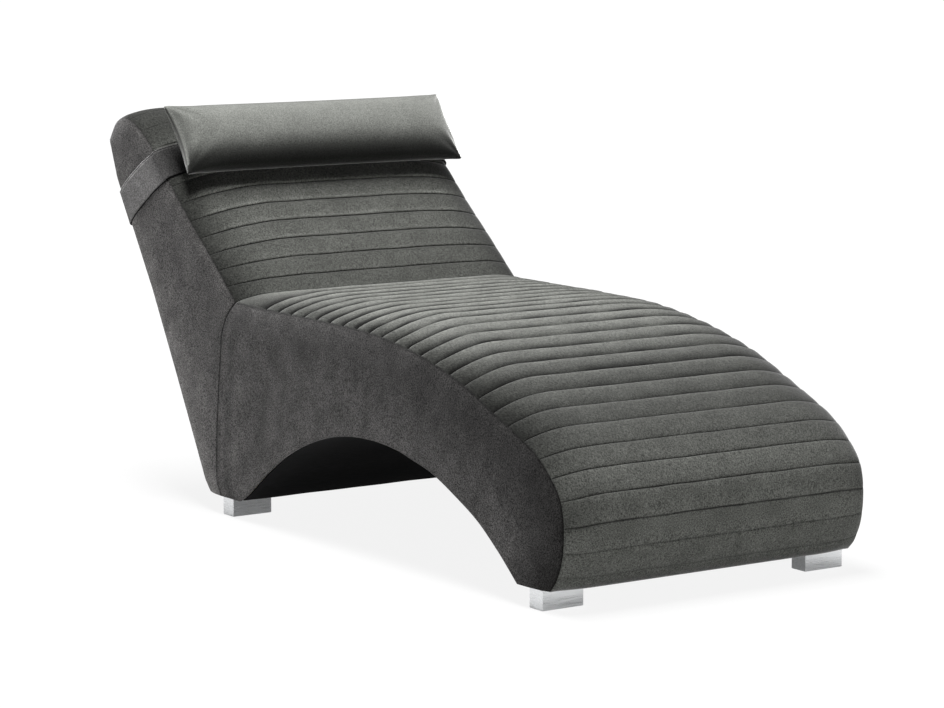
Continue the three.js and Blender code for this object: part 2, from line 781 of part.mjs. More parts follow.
function addHeadrest() {
  const strapMiddle = frontLength * strapFrontShare;
  const [from, to] = [strapMiddle - strapWidth / 2, strapMiddle + strapWidth / 2];
  add("strap_front", strapFront(from, to), "velvet");

  const rearTop = outline[rearPanelStart + 1];
  const rearSlope = outline[rearPanelStart + 2].clone().sub(rearTop);
  const rearMiddle = rearSlope.length() * strapRearShare;
  rearSlope.normalize();
  const rearOut = new THREE.Vector2(-rearSlope.y, rearSlope.x);
  const onRear = (distance, out) =>
    rearTop.clone().addScaledVector(rearSlope, distance).addScaledVector(rearOut, out);
  const high = rearMiddle - strapWidth / 2;
  const low = rearMiddle + strapWidth / 2;

  const frontOut = new THREE.Vector2(-frontSlope.y, frontSlope.x);
  const onFront = (distance) =>
    crease.clone().addScaledVector(frontSlope, distance).addScaledVector(frontOut, -strapWrap - fit);
  const rearFace = fit + strapThickness;
  const band = [onFront(from), onFront(to), onRear(high, rearFace), onRear(low, rearFace)];
  const bandX = seamHalf + sideCrown + fit;
  sides.forEach(({ name, sign }) => {
    const reach = [bandX, bandX + strapThickness];
    const span = sign > 0 ? reach : reach.map((x) => -x).reverse();
    add(`strap_${name}`, slab(band, ...span), "velvet");
  });

  const behind = [onRear(low, fit), onRear(high, fit), onRear(high, rearFace), onRear(low, rearFace)];
  const rearHalf = bandX - fit;
  add("strap_rear", slab(behind, -rearHalf, rearHalf), "velvet");

  const pillow = add("neck_pillow", pillowGeometry(), "pillowVelvet");
  const leaning = pillow.geometry.clone().rotateX(pillowTurn);
  leaning.computeBoundingBox();
  const reach = -leaning.boundingBox.min.z;
  const lift = crown + channelLip + strapClearance + strapThickness + fit + reach;
  const place = creaseIndex + pillowPlaceShare * frontChannels;
  pillow.position.copy(lifted(place, 0, lift));
  pillow.rotation.x = frontSlope.angle() + pillowTurn;
}

addCovers();
addPadding();
addDeck();
addFrame();
addFeet();
addHeadrest();

// The origin is under the middle of the whole piece, on the floor
lounger.updateMatrixWorld(true);
const bounds = new THREE.Box3().setFromObject(lounger, true);
lounger.position.y = -(bounds.min.y + bounds.max.y) / 2;

export default lounger;
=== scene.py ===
"""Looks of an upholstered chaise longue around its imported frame.

Metres, +Z up, in the frame's own axes: X is the width, the foot end is at -Y and the
backrest at +Y. A track is a run of the body's outline seen from the side.
"""
import json
import math

import bmesh
import bpy
import numpy as np
from mathutils import Matrix, Vector
from mathutils.geometry import delaunay_2d_cdt


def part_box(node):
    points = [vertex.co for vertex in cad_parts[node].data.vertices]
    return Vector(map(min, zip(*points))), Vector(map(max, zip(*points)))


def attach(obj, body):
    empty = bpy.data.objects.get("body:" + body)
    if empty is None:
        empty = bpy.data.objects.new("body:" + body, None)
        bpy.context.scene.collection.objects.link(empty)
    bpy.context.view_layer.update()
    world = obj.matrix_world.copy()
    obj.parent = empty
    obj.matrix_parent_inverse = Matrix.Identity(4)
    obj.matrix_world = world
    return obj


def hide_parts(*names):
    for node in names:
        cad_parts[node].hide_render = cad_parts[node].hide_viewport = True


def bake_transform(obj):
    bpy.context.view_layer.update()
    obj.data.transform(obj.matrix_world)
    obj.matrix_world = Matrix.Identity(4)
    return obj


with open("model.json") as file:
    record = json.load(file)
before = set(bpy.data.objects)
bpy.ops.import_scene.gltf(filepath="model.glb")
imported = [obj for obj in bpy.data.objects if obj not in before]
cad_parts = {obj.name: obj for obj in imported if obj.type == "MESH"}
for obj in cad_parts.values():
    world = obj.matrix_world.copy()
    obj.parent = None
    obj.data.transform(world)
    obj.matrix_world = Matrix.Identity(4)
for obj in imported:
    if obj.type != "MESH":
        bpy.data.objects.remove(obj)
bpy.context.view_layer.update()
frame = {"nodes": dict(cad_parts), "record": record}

MM = 0.001

# Main sizes, as in the frame
SEAT_LENGTH = 1133 * MM
BACK_REACH = 526 * MM
SEAT_HEIGHT = 444 * MM
BACK_RISE = 352 * MM
FOOT_INSET = 61 * MM
FIT = 0.3 * MM
SEAM_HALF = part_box("seat_quilt")[1].x
FABRIC_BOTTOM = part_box("base_cloth_front")[0].z
FOOT_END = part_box("foot_front_left")[0].y - FOOT_INSET
CREASE = np.array([FOOT_END + SEAT_LENGTH, SEAT_HEIGHT])

# Upholstery
CROWN = 14 * MM
CROWN_WIDTH = 90 * MM
COVER_THICKNESS = 4.6 * MM
CHANNEL_PITCH = 50 * MM
HEM_WIDTH = 41 * MM  # foot end's hem to the first sewn line
NOSE_PITCH = 47.4 * MM
NOSE_CHANNELS = 6
SEAT_PITCH = 57.3 * MM
SEAT_CHANNELS = 10
HOLLOW_PITCH = 46.7 * MM  # towards the crease
REAR_CROWN = 5 * MM
REAR_CROWN_WIDTH = 60 * MM
SIDE_CROWN = 10 * MM
SIDE_CROWN_WIDTH = 75 * MM

# Outlines seen from the side, as (share along, share up)
SEAT_SHARES = (
    (0.036, 0), (0.0185, 0.059), (0.0045, 0.153), (0, 0.256), (0.0026, 0.355),
    (0.013, 0.438), (0.036, 0.517), (0.067, 0.594), (0.102, 0.653), (0.1465, 0.712),
    (0.1995, 0.773), (0.269, 0.845), (0.376, 0.921), (0.467, 0.966), (0.566, 0.993),
    (0.693, 1), (0.848, 1), (1, 1),
)
FRONT_END_SHARE = (0.652, 0.87)
TOP_SHARES = ((0.72, 0.935), (0.8, 0.985), (0.875, 1), (0.947, 0.955), (1, 0.845))
REAR_SHARES = (
    (0.939, 0.822), (0.656, 0.524), (0.471, 0.303), (0.2947, 0.0858), (0.249, 0.029),
    (0.209, 0),
)
ARCH_SHARES = (
    (0, 0), (0.03, 0.128), (0.066, 0.272), (0.1265, 0.482), (0.195, 0.651),
    (0.2765, 0.82), (0.351, 0.913), (0.415, 0.974), (0.505, 1), (0.606, 0.959),
    (0.709, 0.831), (0.811, 0.615), (0.898, 0.349), (0.968, 0.092), (1, 0),
)
SIDE_SEAM_SHARES = (
    (0, 1), (0.37, 0.919), (0.63, 0.818), (0.69, 0.719), (0.82, 0.561), (0.94, 0.371),
    (0.985, 0.223), (1, 0.066), (0.73, 0),
)
ARCH_START = 131 * MM
ARCH_SETBACK = 22 * MM
ARCH_RISE = 195 * MM
SIDE_SEAM_REACH = 67 * MM


# Curves

def placed(shares, origin, size):
    return np.array(origin) + np.array(shares, float) * np.array(size)


def catmull(points, steps=24):
    """A smooth curve through the points."""
    padded = np.vstack([points[:1], points, points[-1:]])
    t = np.linspace(0, 1, steps, endpoint=False)[:, None]
    runs = []
    for a, b, c, d in zip(padded, padded[1:], padded[2:], padded[3:]):
        v0 = (c - a) / 2
        v1 = (d - b) / 2
        runs.append((2 * b - 2 * c + v0 + v1) * t**3 + (3 * c - 3 * b - 2 * v0 - v1) * t**2 + v0 * t + b)
    return np.vstack(runs + [points[-1:]])


class Track:
    """A run in the YZ plane that can be asked for points by the length along it."""

    def __init__(self, points):
        self.points = np.asarray(points, float)
        steps = np.linalg.norm(np.diff(self.points, axis=0), axis=1)
        self.at_point = np.concatenate([[0], np.cumsum(steps)])
        self.length = self.at_point[-1]

    def at(self, s):
        """Points at lengths s. Past an end the run goes on straight."""
        s = np.asarray(s, float)
        inside = np.clip(s, 0, self.length)
        found = np.stack([np.interp(inside, self.at_point, self.points[:, i]) for i in (0, 1)], -1)
        return found + self.along(inside) * (s - inside)[..., None]

    def along(self, s):
        reach = 2 * MM
        low = np.clip(np.asarray(s, float) - reach, 0, self.length - 2 * reach)
        high = low + 2 * reach
        a = np.stack([np.interp(low, self.at_point, self.points[:, i]) for i in (0, 1)], -1)
        b = np.stack([np.interp(high, self.at_point, self.points[:, i]) for i in (0, 1)], -1)
        step = b - a
        return step / np.linalg.norm(step, axis=-1, keepdims=True)

    def out(self, s):
        """Unit vectors square to the run, out of the body."""
        along = self.along(s)
        return np.stack([-along[..., 1], along[..., 0]], -1)

    def spaced(self, step):
        count = max(2, round(self.length / step))
        return self.at(np.linspace(0, self.length, count + 1))


def joined(*tracks):
    return Track(np.vstack([tracks[0].points] + [t.points[1:] for t in tracks[1:]]))


SEAT_RISE = SEAT_HEIGHT - FABRIC_BOTTOM
SEAT = Track(catmull(placed(SEAT_SHARES, (FOOT_END, FABRIC_BOTTOM), (SEAT_LENGTH, SEAT_RISE))))
FRONT_END = placed(FRONT_END_SHARE, CREASE, (BACK_REACH, BACK_RISE))
FRONT = Track(np.array([CREASE, FRONT_END]))
TOP = Track(catmull(np.vstack([FRONT_END, placed(TOP_SHARES, CREASE, (BACK_REACH, BACK_RISE))])))
REAR_RISE = SEAT_HEIGHT + BACK_RISE - FABRIC_BOTTOM
REAR_POINTS = placed(REAR_SHARES, (CREASE[0], FABRIC_BOTTOM), (BACK_REACH, REAR_RISE))
REAR = Track(np.vstack([TOP.points[-1:], REAR_POINTS]))
BACK = joined(FRONT, TOP)
ARCH_LENGTH = SEAT_LENGTH - ARCH_START - ARCH_SETBACK
ARCH = Track(catmull(placed(ARCH_SHARES, (FOOT_END + ARCH_START, FABRIC_BOTTOM), (ARCH_LENGTH, ARCH_RISE))))
SIDE_SEAM = Track(placed(SIDE_SEAM_SHARES, (CREASE[0], FABRIC_BOTTOM), (SIDE_SEAM_REACH, SEAT_RISE)))


def channel_shares(length, pitch):
    return np.linspace(0, 1, round(length / pitch) + 1)


NOSE_LINES = HEM_WIDTH + NOSE_PITCH * np.arange(NOSE_CHANNELS)
RISE_LINES = NOSE_LINES[-1] + SEAT_PITCH * np.arange(1, SEAT_CHANNELS + 1)
HOLLOW_RUN = SEAT.length - RISE_LINES[-1]
HOLLOW_LINES = RISE_LINES[-1] + HOLLOW_RUN * channel_shares(HOLLOW_RUN, HOLLOW_PITCH)
SEAT_LINES = np.concatenate([[0], NOSE_LINES, RISE_LINES, HOLLOW_LINES[1:]])
FRONT_LINES = FRONT.length * channel_shares(FRONT.length, CHANNEL_PITCH)
TOP_LINES = TOP.length * channel_shares(TOP.length, CHANNEL_PITCH)
BACK_LINES = np.concatenate([FRONT_LINES, FRONT.length + TOP_LINES[1:]])
CREASE_TURN = math.atan2(*(FRONT_END - CREASE)[::-1])


# Along the seat and the backrest: share of the length, how far the side seam lies under its outline, how far the sewn
# lines bend at their ends, how full the channels stand, and how light the colour is painted: painted light and shade
# along the length
SEAT_SHAPE = (
    (0, 0, 0, 0.14, 1.1), (0.05, 0, 2, 0.17, 1.17), (0.08, 0, 3, 0.22, 1.24), (0.1, 0, 4, 0.42, 1.28),
    (0.13, 0, 4, 0.42, 1.25), (0.2, 4, 4, 0.45, 0.76), (0.26, 9, 6, 0.6, 0.6), (0.32, 11, 14, 0.8, 0.62),
    (0.38, 8, 24, 1, 0.64), (0.43, 6, 32, 1, 0.85),
    (0.5, 4, 43, 1.05, 1.1), (0.54, 4, 52, 1.1, 1.22), (0.62, 3, 75, 1.2, 1.45), (0.7, 3, 83, 1.5, 1.58),
    (0.9, 2, 77, 1.6, 1.55), (0.97, 1, 74, 1.4, 1.5), (1, 0, 0, 0.8, 1.4),
)
BACK_SHAPE = (
    (0, 0, 0, 0.55, 0.6), (0.07, 1, 8, 0.6, 0.61), (0.2, 4, 17, 0.75, 0.69), (0.33, 9, 22, 0.95, 0.72),
    (0.4, 10, 22, 1, 0.8), (0.46, 10, 22, 1, 0.98), (0.6, 10, 22, 0.8, 1.15), (0.65, 9, 20, 0.55, 1.2),
    (0.7, 9, 17, 0.25, 0.36), (0.75, 8, 12, 0.15, 0.27), (1, 0, 0, 0.1, 0.23),
)
FLAT_CHANNEL = 0.4  # fullness up to which a channel counts as pulled flat
# Painted shade on the crowned shoulders beside the side seam
SHOULDER_SHADE = 0.68
SHOULDER_SHADE_WIDTH = 60 * MM
# Soft folds beside the upright seam, painted as light and shade only: millimetres from it, how light the colour is
# painted
PAINTED_FOLD_LIGHT = ((0, 0.95), (9, 0.95), (19, 1.14), (36, 0.84), (50, 0.88), (65, 1.13), (80, 1.1), (110, 1))
SEAM_SHADE = 0.75
SEAM_SHADE_WIDTH = 3 * MM
# Beside the side seam: how far in the lines bend and by which share of the bend further, how far in the channels are
# drawn flat, and how far in the painted shade of the lines fades
SEAT_EDGE = (112 * MM, 1.2, 16 * MM, 1 * MM)
BACK_EDGE = (200 * MM, 0, 60 * MM, 42 * MM)
RIGHT_BEND = 0.4  # bend of the lines' ends on the right, against the left
SHOULDER_WIDTH = 112 * MM
SHOULDER_DEPTH = 25 * MM


def shape_along(track, table, s):
    """The seam's drop, the bend of the lines, the fullness and the painted light at lengths s."""
    share, *columns = np.array(table).T
    at = np.clip(s / track.length, 0, 1)
    return [np.interp(at, share, values) * unit for values, unit in zip(columns, (MM, MM, 1, 1))]


def side_seam_run(track, table, step):
    """The line of the side seam beside the lying surface."""
    s = np.linspace(0, track.length, max(2, round(track.length / step)) + 1)
    return track.at(s) - track.out(s) * shape_along(track, table, s)[0][:, None]


# Small helpers for surfaces

def eased(distance, width, power=2.0, bend=0.7):
    """A rise from 0 at an edge to 1 at width from it."""
    share = np.clip(distance / width, 0, 1)
    return (1 - (1 - share) ** power) ** bend


def waves(x, seed, lengths, phase_step=0.0):
    """A smooth wobble of about -1 to 1, made of a few sine waves with seeded phases."""
    rng = np.random.default_rng(seed)
    total = np.zeros(np.broadcast(x, phase_step).shape)
    for length in lengths:
        phase = rng.uniform(0, 2 * math.pi)
        drift = rng.uniform(1, 5)
        total = total + np.sin(2 * math.pi * x / length + phase + drift * phase_step)
    return total / len(lengths)


SHARP_EDGE = math.radians(75)


def set_painted_light(mesh, values=1.0):
    """Painted light and shade at each vertex, which multiplies the colour: 1 plain, more for a painted highlight, less
    for painted shade.
    """
    if "painted_light" not in mesh.attributes:
        mesh.attributes.new("painted_light", "FLOAT", "POINT")
    full = np.broadcast_to(np.asarray(values, np.float32), len(mesh.vertices))
    mesh.attributes["painted_light"].data.foreach_set("value", np.ascontiguousarray(full))


def new_object(name, vertices, faces, smooth=True, painted_light=1.0):
    mesh = bpy.data.meshes.new(name)
    mesh.from_pydata([tuple(v) for v in vertices], [], [tuple(f) for f in faces])
    set_painted_light(mesh, painted_light)
    mesh.validate()
    if smooth:
        mesh.shade_smooth()
        mesh.set_sharp_from_angle(angle=SHARP_EDGE)
    piece = bpy.data.objects.new(name, mesh)
    bpy.context.scene.collection.objects.link(piece)
    return piece


def grid_faces(rows, columns, start=0, flipped=False):
    row, column = np.meshgrid(np.arange(rows - 1), np.arange(columns - 1), indexing="ij")
    a = start + row * columns + column
    quads = np.stack([a, a + 1, a + columns + 1, a + columns], -1).reshape(-1, 4)
    return quads[:, ::-1] if flipped else quads


def shell(name, outer, inner, painted_light=1.0):
    """A closed sheet between two grids of points with the same rows and columns."""
    rows, columns = outer.shape[:2]
    size = rows * columns
    faces = [grid_faces(rows, columns), grid_faces(rows, columns, size, flipped=True)]
    index = np.arange(size).reshape(rows, columns)
    rim = np.concatenate([index[0, ::-1], index[1:, 0], index[-1, 1:], index[-2:0:-1, -1]])
    after = np.roll(rim, -1)
    faces.append(np.stack([rim, after, after + size, rim + size], -1))
    vertices = np.vstack([outer.reshape(-1, 3), inner.reshape(-1, 3)])
    shade = np.broadcast_to(painted_light, (rows, columns)).reshape(-1)
    return new_object(name, vertices, np.vstack(faces), painted_light=np.concatenate([shade, shade]))


def place_on(track, x, s, lift, shift=0.0):
    """Points over a track at lengths s, lifted square to it and shifted along it."""
    at = track.at(s)
    out = track.out(s)
    along = track.along(s)
    yz = at + out * np.asarray(lift)[..., None] + along * np.asarray(shift)[..., None]
    return np.concatenate([np.broadcast_to(x, s.shape)[..., None], yz], -1)


def across_columns(half, step):
    """Places across the width, closer together beside the two seams."""
    near = np.array([0, 0.8, 2, 4, 7, 11, 16, 22, 29]) * MM
    middle = np.linspace(near[-1], 2 * half - near[-1], round((2 * half - 2 * near[-1]) / step))
    return np.concatenate([near, middle[1:-1], (2 * half - near)[::-1]]) - half


# Quilted covers

# Across a channel from its foot side: share of the width, height in millimetres, and the painted light and shade where
# the channels are pulled flat and where they stand full: painted shade in the sewn grooves, painted highlights on the
# lips beside them
SEAT_BAND = (
    (0, -3.4, 0.3, 0.15), (0.012, -2.6, 0.42, 0.17), (0.03, -1.9, 0.7, 0.2), (0.06, -1.1, 1.0, 0.28),
    (0.1, -0.3, 1.06, 0.38), (0.16, 0.7, 1.06, 0.52), (0.25, 1.8, 1.04, 0.72), (0.36, 2.7, 1, 0.9),
    (0.5, 3.4, 0.98, 1.02), (0.64, 3.7, 0.96, 1.12), (0.76, 3.5, 0.95, 1.22), (0.86, 2.9, 0.94, 1.4),
    (0.93, 1.9, 0.9, 1.7), (0.965, 0.7, 0.8, 1.9), (0.988, -1.2, 0.5, 1.1),
)
BACK_BAND = (
    (0, -3.2, 0.3, 0.25), (0.012, -2.2, 0.45, 0.4), (0.03, -0.9, 1, 1.5), (0.06, 0.3, 1.05, 1.95),
    (0.1, 1.0, 1.05, 1.7), (0.16, 1.4, 1.02, 1.28), (0.25, 1.6, 1, 1.08), (0.36, 1.6, 1, 1),
    (0.5, 1.5, 1, 0.98), (0.64, 1.35, 1, 0.96), (0.76, 1.1, 1, 0.93), (0.86, 0.65, 0.95, 0.88),
    (0.93, -0.1, 0.9, 0.75), (0.965, -0.9, 0.8, 0.55), (0.988, -2.0, 0.5, 0.35),
)


def channel_rows(lines, band):
    """Rows over all channels: the length along, the nearest sewn line, the height, both painted light values."""
    rows = []
    for k, (low, high) in enumerate(zip(lines, lines[1:])):
        for share, height, flat_painted_light, full_painted_light in band:
            rows.append((low + (high - low) * share, k + (share > 0.5), height * MM, flat_painted_light, full_painted_light))
    rows.append((lines[-1], len(lines) - 1, band[0][1] * MM, *band[0][2:]))
    return [np.array(values) for values in zip(*rows)]


def quilted_cover(name, track, lines, band, table, edge, seed, crease_at_end, crease_at_start):
    bend_width, bend_growth, draw_width, fade_width = edge
    x = across_columns(SEAM_HALF - FIT, 7.5 * MM)
    s, line, height, flat_painted_light, full_painted_light = channel_rows(lines, band)
    to_seam = (SEAM_HALF - FIT) - np.abs(x)
    crown = eased(to_seam, CROWN_WIDTH)
    wobble = waves(x[None, :], seed, (0.31, 0.17, 0.094), line[:, None] * 2.4) * 0.7 * MM
    puff = 1 + 0.2 * waves(x[None, :], seed + 1, (0.43, 0.21, 0.12), line[:, None] * 3.1)
    groove = 1 + 0.5 * waves(x[None, :], seed + 2, (0.7, 0.26, 0.11), line[:, None] * 1.7)
    _, bend, full, light = shape_along(track, table, s)
    bend = bend[:, None] * np.where(x < 0, 1, RIGHT_BEND)
    bent = np.clip(1 - to_seam[None, :] / (bend_width + bend_growth * bend), 0, 1)
    bent = bent**2 * (3 - 2 * bent)
    full_s = s[:, None] + wobble - bend * bent
    faint = np.clip(full / FLAT_CHANNEL, 0, 1)
    stand = np.minimum(full, 1)
    height = height * np.where(height > 0, stand, (0.5 + 0.5 * stand) * faint)
    slack = np.clip((full - FLAT_CHANNEL) / (1 - FLAT_CHANNEL), 0, None)
    # Painted light and shade across each channel, between its flat and its full values
    painted_light = 1 + (flat_painted_light + (full_painted_light - flat_painted_light) * slack - 1) * faint
    crease_pull = CROWN * crown * math.tan(CREASE_TURN / 2)
    if crease_at_end:
        reach = lines[-1] - lines[-2]
        near = np.clip((full_s - (lines[-1] - reach)) / reach, 0, 1)
        full_s = full_s - crease_pull[None, :] * near
        end_ease = eased(np.clip(full_s, 0, None), 34 * MM)
    if crease_at_start:
        reach = lines[1] - lines[0]
        near = 1 - np.clip(full_s / reach, 0, 1)
        full_s = full_s + crease_pull[None, :] * near
        end_ease = eased(np.clip(lines[-1] - full_s, 0, None), 34 * MM)
    seam_ease = 0.4 + 0.6 * np.clip(to_seam / draw_width, 0, 1)
    relief = height[:, None] * seam_ease[None, :]
    relief = relief * np.where(height[:, None] > 0, puff, 1)
    # Each channel stands out a little beside the side seam, between its sewn lines
    scallop = np.sin(math.pi * np.mod((s - lines[0]) / (lines[1] - lines[0]), 1.0)) ** 2
    fullness = 0.8 * MM * scallop[:, None] * np.exp(-((to_seam[None, :] - 9 * MM) / (8 * MM)) ** 2)
    shoulder = 1 - eased(to_seam, SHOULDER_WIDTH, 2.0, 0.8)[None, :]
    dropped = shape_along(track, table, full_s)[0] * shoulder
    lift = end_ease * CROWN * crown[None, :] + relief + fullness - dropped
    inner_lift = end_ease * CROWN * crown[None, :] - COVER_THICKNESS - dropped
    middle = full_s + 0
    if crease_at_end:
        middle = np.minimum(middle, lines[-1] - crease_pull[None, :] - FIT)
    if crease_at_start:
        middle = np.maximum(middle, crease_pull[None, :] + FIT)
    full_s = np.clip(full_s, lines[0] + FIT / 2, lines[-1] - FIT / 2)
    columns = np.broadcast_to(x[None, :], full_s.shape)
    outer = place_on(track, columns, full_s, lift)
    inner = place_on(track, columns, np.clip(middle, lines[0], lines[-1]), inner_lift)
    # Painted shade in the sewn grooves and painted highlights on their lips, fading out towards the side seam
    fade = np.clip(to_seam / fade_width, 0, 1)[None, :]
    shade = 1 - (1 - painted_light[:, None]) * np.clip(groove, 0.3, 1.3) * fade
    # Painted shade on the shoulders beside the side seam, where the channels stand full
    soft = SHOULDER_SHADE * np.clip((full - 0.3) / 0.3, 0, 1)
    turned = 1 - soft[:, None] * np.exp(-((to_seam / SHOULDER_SHADE_WIDTH) ** 1.5))[None, :]
    return shell(name, outer, inner, np.clip(shade * turned * light[:, None], 0.05, 3))


# Smooth panels

def signed(points, sign):
    return np.stack([sign * points[:, 0], points[:, 1], points[:, 2]], -1)


def distance_to(run, points):
    """Distance from each point to a run of straight pieces, and the length along it there."""
    a = run[:-1][None]
    step = np.diff(run, axis=0)[None]
    length = np.linalg.norm(step, axis=-1)
    starts = np.concatenate([[0], np.cumsum(length[0])[:-1]])
    best = np.full(len(points), np.inf)
    along = np.zeros(len(points))
    for part in np.array_split(np.arange(len(points)), max(1, len(points) // 2000)):
        offset = points[part][:, None] - a
        t = np.clip((offset * step).sum(-1) / (length**2), 0, 1)
        gap = np.linalg.norm(offset - t[..., None] * step, axis=-1)
        nearest = gap.argmin(1)
        rows = np.arange(len(part))
        best[part] = gap[rows, nearest]
        along[part] = starts[nearest] + t[rows, nearest] * length[0][nearest]
    return best, along


def inside_polygon(polygon, points):
    x, y = points[:, 0], points[:, 1]
    inside = np.zeros(len(points), bool)
    for (ax, ay), (bx, by) in zip(polygon, np.roll(polygon, -1, axis=0)):
        crosses = (ay > y) != (by > y)
        with np.errstate(divide="ignore", invalid="ignore"):
            at = (bx - ax) * (y - ay) / (by - ay) + ax
        inside ^= crosses & (x < at)
    return inside


def filled(boundary, step):
    """Points and triangles that fill a boundary, with rings close to its edge."""
    closed = np.vstack([boundary, boundary[:1]])
    low = boundary.min(0)
    high = boundary.max(0)
    across = np.arange(low[0], high[0], step)
    up = np.arange(low[1], high[1], step * math.sqrt(3) / 2)
    lattice = []
    for row, z in enumerate(up):
        lattice.append(np.stack([across + (row % 2) * step / 2, np.full_like(across, z)], -1))
    lattice = np.vstack(lattice)
    lattice = lattice[inside_polygon(boundary, lattice)]
    gap, _ = distance_to(closed, lattice)
    lattice = lattice[gap > 7.5 * MM]
    rings = []
    turn = np.roll(boundary, -1, axis=0) - np.roll(boundary, 1, axis=0)
    normal = np.stack([-turn[:, 1], turn[:, 0]], -1)
    normal /= np.linalg.norm(normal, axis=1, keepdims=True)
    area = np.sum(boundary[:, 0] * np.roll(boundary[:, 1], -1) - np.roll(boundary[:, 0], -1) * boundary[:, 1])
    if area < 0:
        normal = -normal
    for depth in (0.6 * MM, 1.5 * MM, 3 * MM, 5.2 * MM):
        ring = boundary + normal * depth
        gap, _ = distance_to(closed, ring)
        rings.append(ring[(gap > 0.93 * depth) & inside_polygon(boundary, ring)])
    points = np.vstack([boundary] + rings + [lattice])
    count = len(boundary)
    edges = [(i, (i + 1) % count) for i in range(count)]
    out = delaunay_2d_cdt([Vector(p) for p in points], edges, [], 1, 1e-7)
    vertices = np.array([tuple(v) for v in out[0]])
    return vertices, np.array([tuple(f) for f in out[2]])


def panel(name, boundary, sign, surface, nap_and_painted_light, thickness):
    """A closed panel over a boundary in the YZ plane. surface gives the X of each point, nap_and_painted_light its
    painted light and shade.
    """
    flat, triangles = filled(boundary, 7 * MM)
    outer_x = surface(flat)
    painted_light = np.tile(nap_and_painted_light(flat), 2)
    outer = np.column_stack([outer_x, flat])
    inner = np.column_stack([outer_x - thickness, flat])
    count = len(flat)
    a, b, c = (flat[triangles[:, i]] for i in range(3))
    turn = (b[:, 0] - a[:, 0]) * (c[:, 1] - a[:, 1]) - (b[:, 1] - a[:, 1]) * (c[:, 0] - a[:, 0])
    triangles = np.where(turn[:, None] > 0, triangles, triangles[:, ::-1])
    edges = {}
    for triangle in triangles:
        for i in range(3):
            edges[(triangle[i], triangle[(i + 1) % 3])] = True
    rim = [(p, q) for p, q in edges if (q, p) not in edges]
    walls = [(q, p, p + count, q + count) for p, q in rim]
    faces = [tuple(t) for t in triangles] + [tuple(t[::-1] + count) for t in triangles] + walls
    vertices = np.vstack([outer, inner])
    if sign < 0:
        vertices = signed(vertices, -1)
        faces = [face[::-1] for face in faces]
    return new_object(name, vertices, faces, painted_light=painted_light)


def beside_seam(track, table, points):
    """Painted shade close to the side seam and the upright seam."""
    gap, _ = distance_to(side_seam_run(track, table, 5 * MM), points)
    upright, _ = distance_to(SIDE_SEAM.points, points)
    return 1 - SEAM_SHADE * np.exp(-((np.minimum(gap, upright) / SEAM_SHADE_WIDTH) ** 2))


def seat_side_painted_shade(points):
    """Painted shade on the side panel along the seam, most of all at the foot end, with painted light and shade on the
    soft folds and painted shade at the seams.
    """
    gap, place = distance_to(SEAT.spaced(5 * MM), points)
    share = place / SEAT.length
    depth = np.interp(share, (0, 0.3, 0.5, 0.75, 1), (0.7, 0.62, 0.47, 0.28, 0.12))
    reach = np.interp(share, (0, 0.3, 0.6, 1), (0.11, 0.15, 0.12, 0.08))
    upright, _ = distance_to(SIDE_SEAM.points, points)
    folds = np.interp(upright, *np.array(PAINTED_FOLD_LIGHT).T * [[MM], [1]])
    return (1 - depth * np.exp(-((gap / reach) ** 2.4))) * folds * beside_seam(SEAT, SEAT_SHAPE, points)


def back_side_painted_light(points):
    """Painted light towards the rear edge, a painted sheen where the panel rounds, with painted shade below the top
    and at the seams.
    """
    gap, _ = distance_to(REAR.points, points)
    below_top, _ = distance_to(TOP.points, points)
    light = (0.97 + 1.7 * np.exp(-gap / (72 * MM))) * (1 - 0.22 * np.exp(-((below_top / (80 * MM)) ** 2)))
    return light * beside_seam(BACK, BACK_SHAPE, points)


SIDE_ROLL = 3.2 * MM
SIDE_ROLL_DEPTH = 2.6 * MM


def side_surface(seed, seams, edges):
    """X of a side panel: crowned away from the lying surface's seam, rolled in at all edges."""
    def surface(points):
        along_seam, place = distance_to(seams, points)
        closed = np.vstack([edges, edges[:1]])
        to_edge, _ = distance_to(closed, points)
        crown = SIDE_CROWN * eased(along_seam, SIDE_CROWN_WIDTH, 2.2, 0.75)
        share = np.clip(to_edge / SIDE_ROLL, 0, 1)
        roll = SIDE_ROLL_DEPTH * (1 - np.sqrt(1 - (1 - share) ** 2))
        pucker = waves(place, seed, (0.011, 0.017, 0.0235)) * np.exp(-along_seam / (13 * MM))
        pucker *= 0.45 * MM * np.clip(0.25 + 0.9 * waves(place, seed + 3, (0.23, 0.37)), 0, 1)
        pucker *= np.clip(along_seam / (2 * MM), 0, 1)
        loose = waves(points[:, 0], seed + 1, (0.19, 0.33, 0.47), points[:, 1] * 3)
        loose = loose * 0.7 * MM * np.clip(to_edge / (60 * MM), 0, 1)
        return SEAM_HALF + FIT + crown - roll + pucker + loose
    return surface


def side_boundaries():
    step = 5 * MM
    seat_top = side_seam_run(SEAT, SEAT_SHAPE, step)
    seam = SIDE_SEAM.spaced(step)
    arch = ARCH.spaced(step)
    front_bottom = Track(np.array([arch[0], seat_top[0]])).spaced(step)
    rear_bottom = Track(np.array([seam[-1], arch[-1]])).spaced(step)
    seat = np.vstack([seat_top[:-1], seam[:-1], rear_bottom[:-1], arch[::-1][:-1], front_bottom[:-1]])
    back_top = side_seam_run(BACK, BACK_SHAPE, step)
    rear = REAR.spaced(step)
    bottom = Track(np.array([rear[-1], seam[-1]])).spaced(step)
    back = np.vstack([back_top[:-1], rear[:-1], bottom[:-1], seam[::-1][:-1]])
    return seat, back


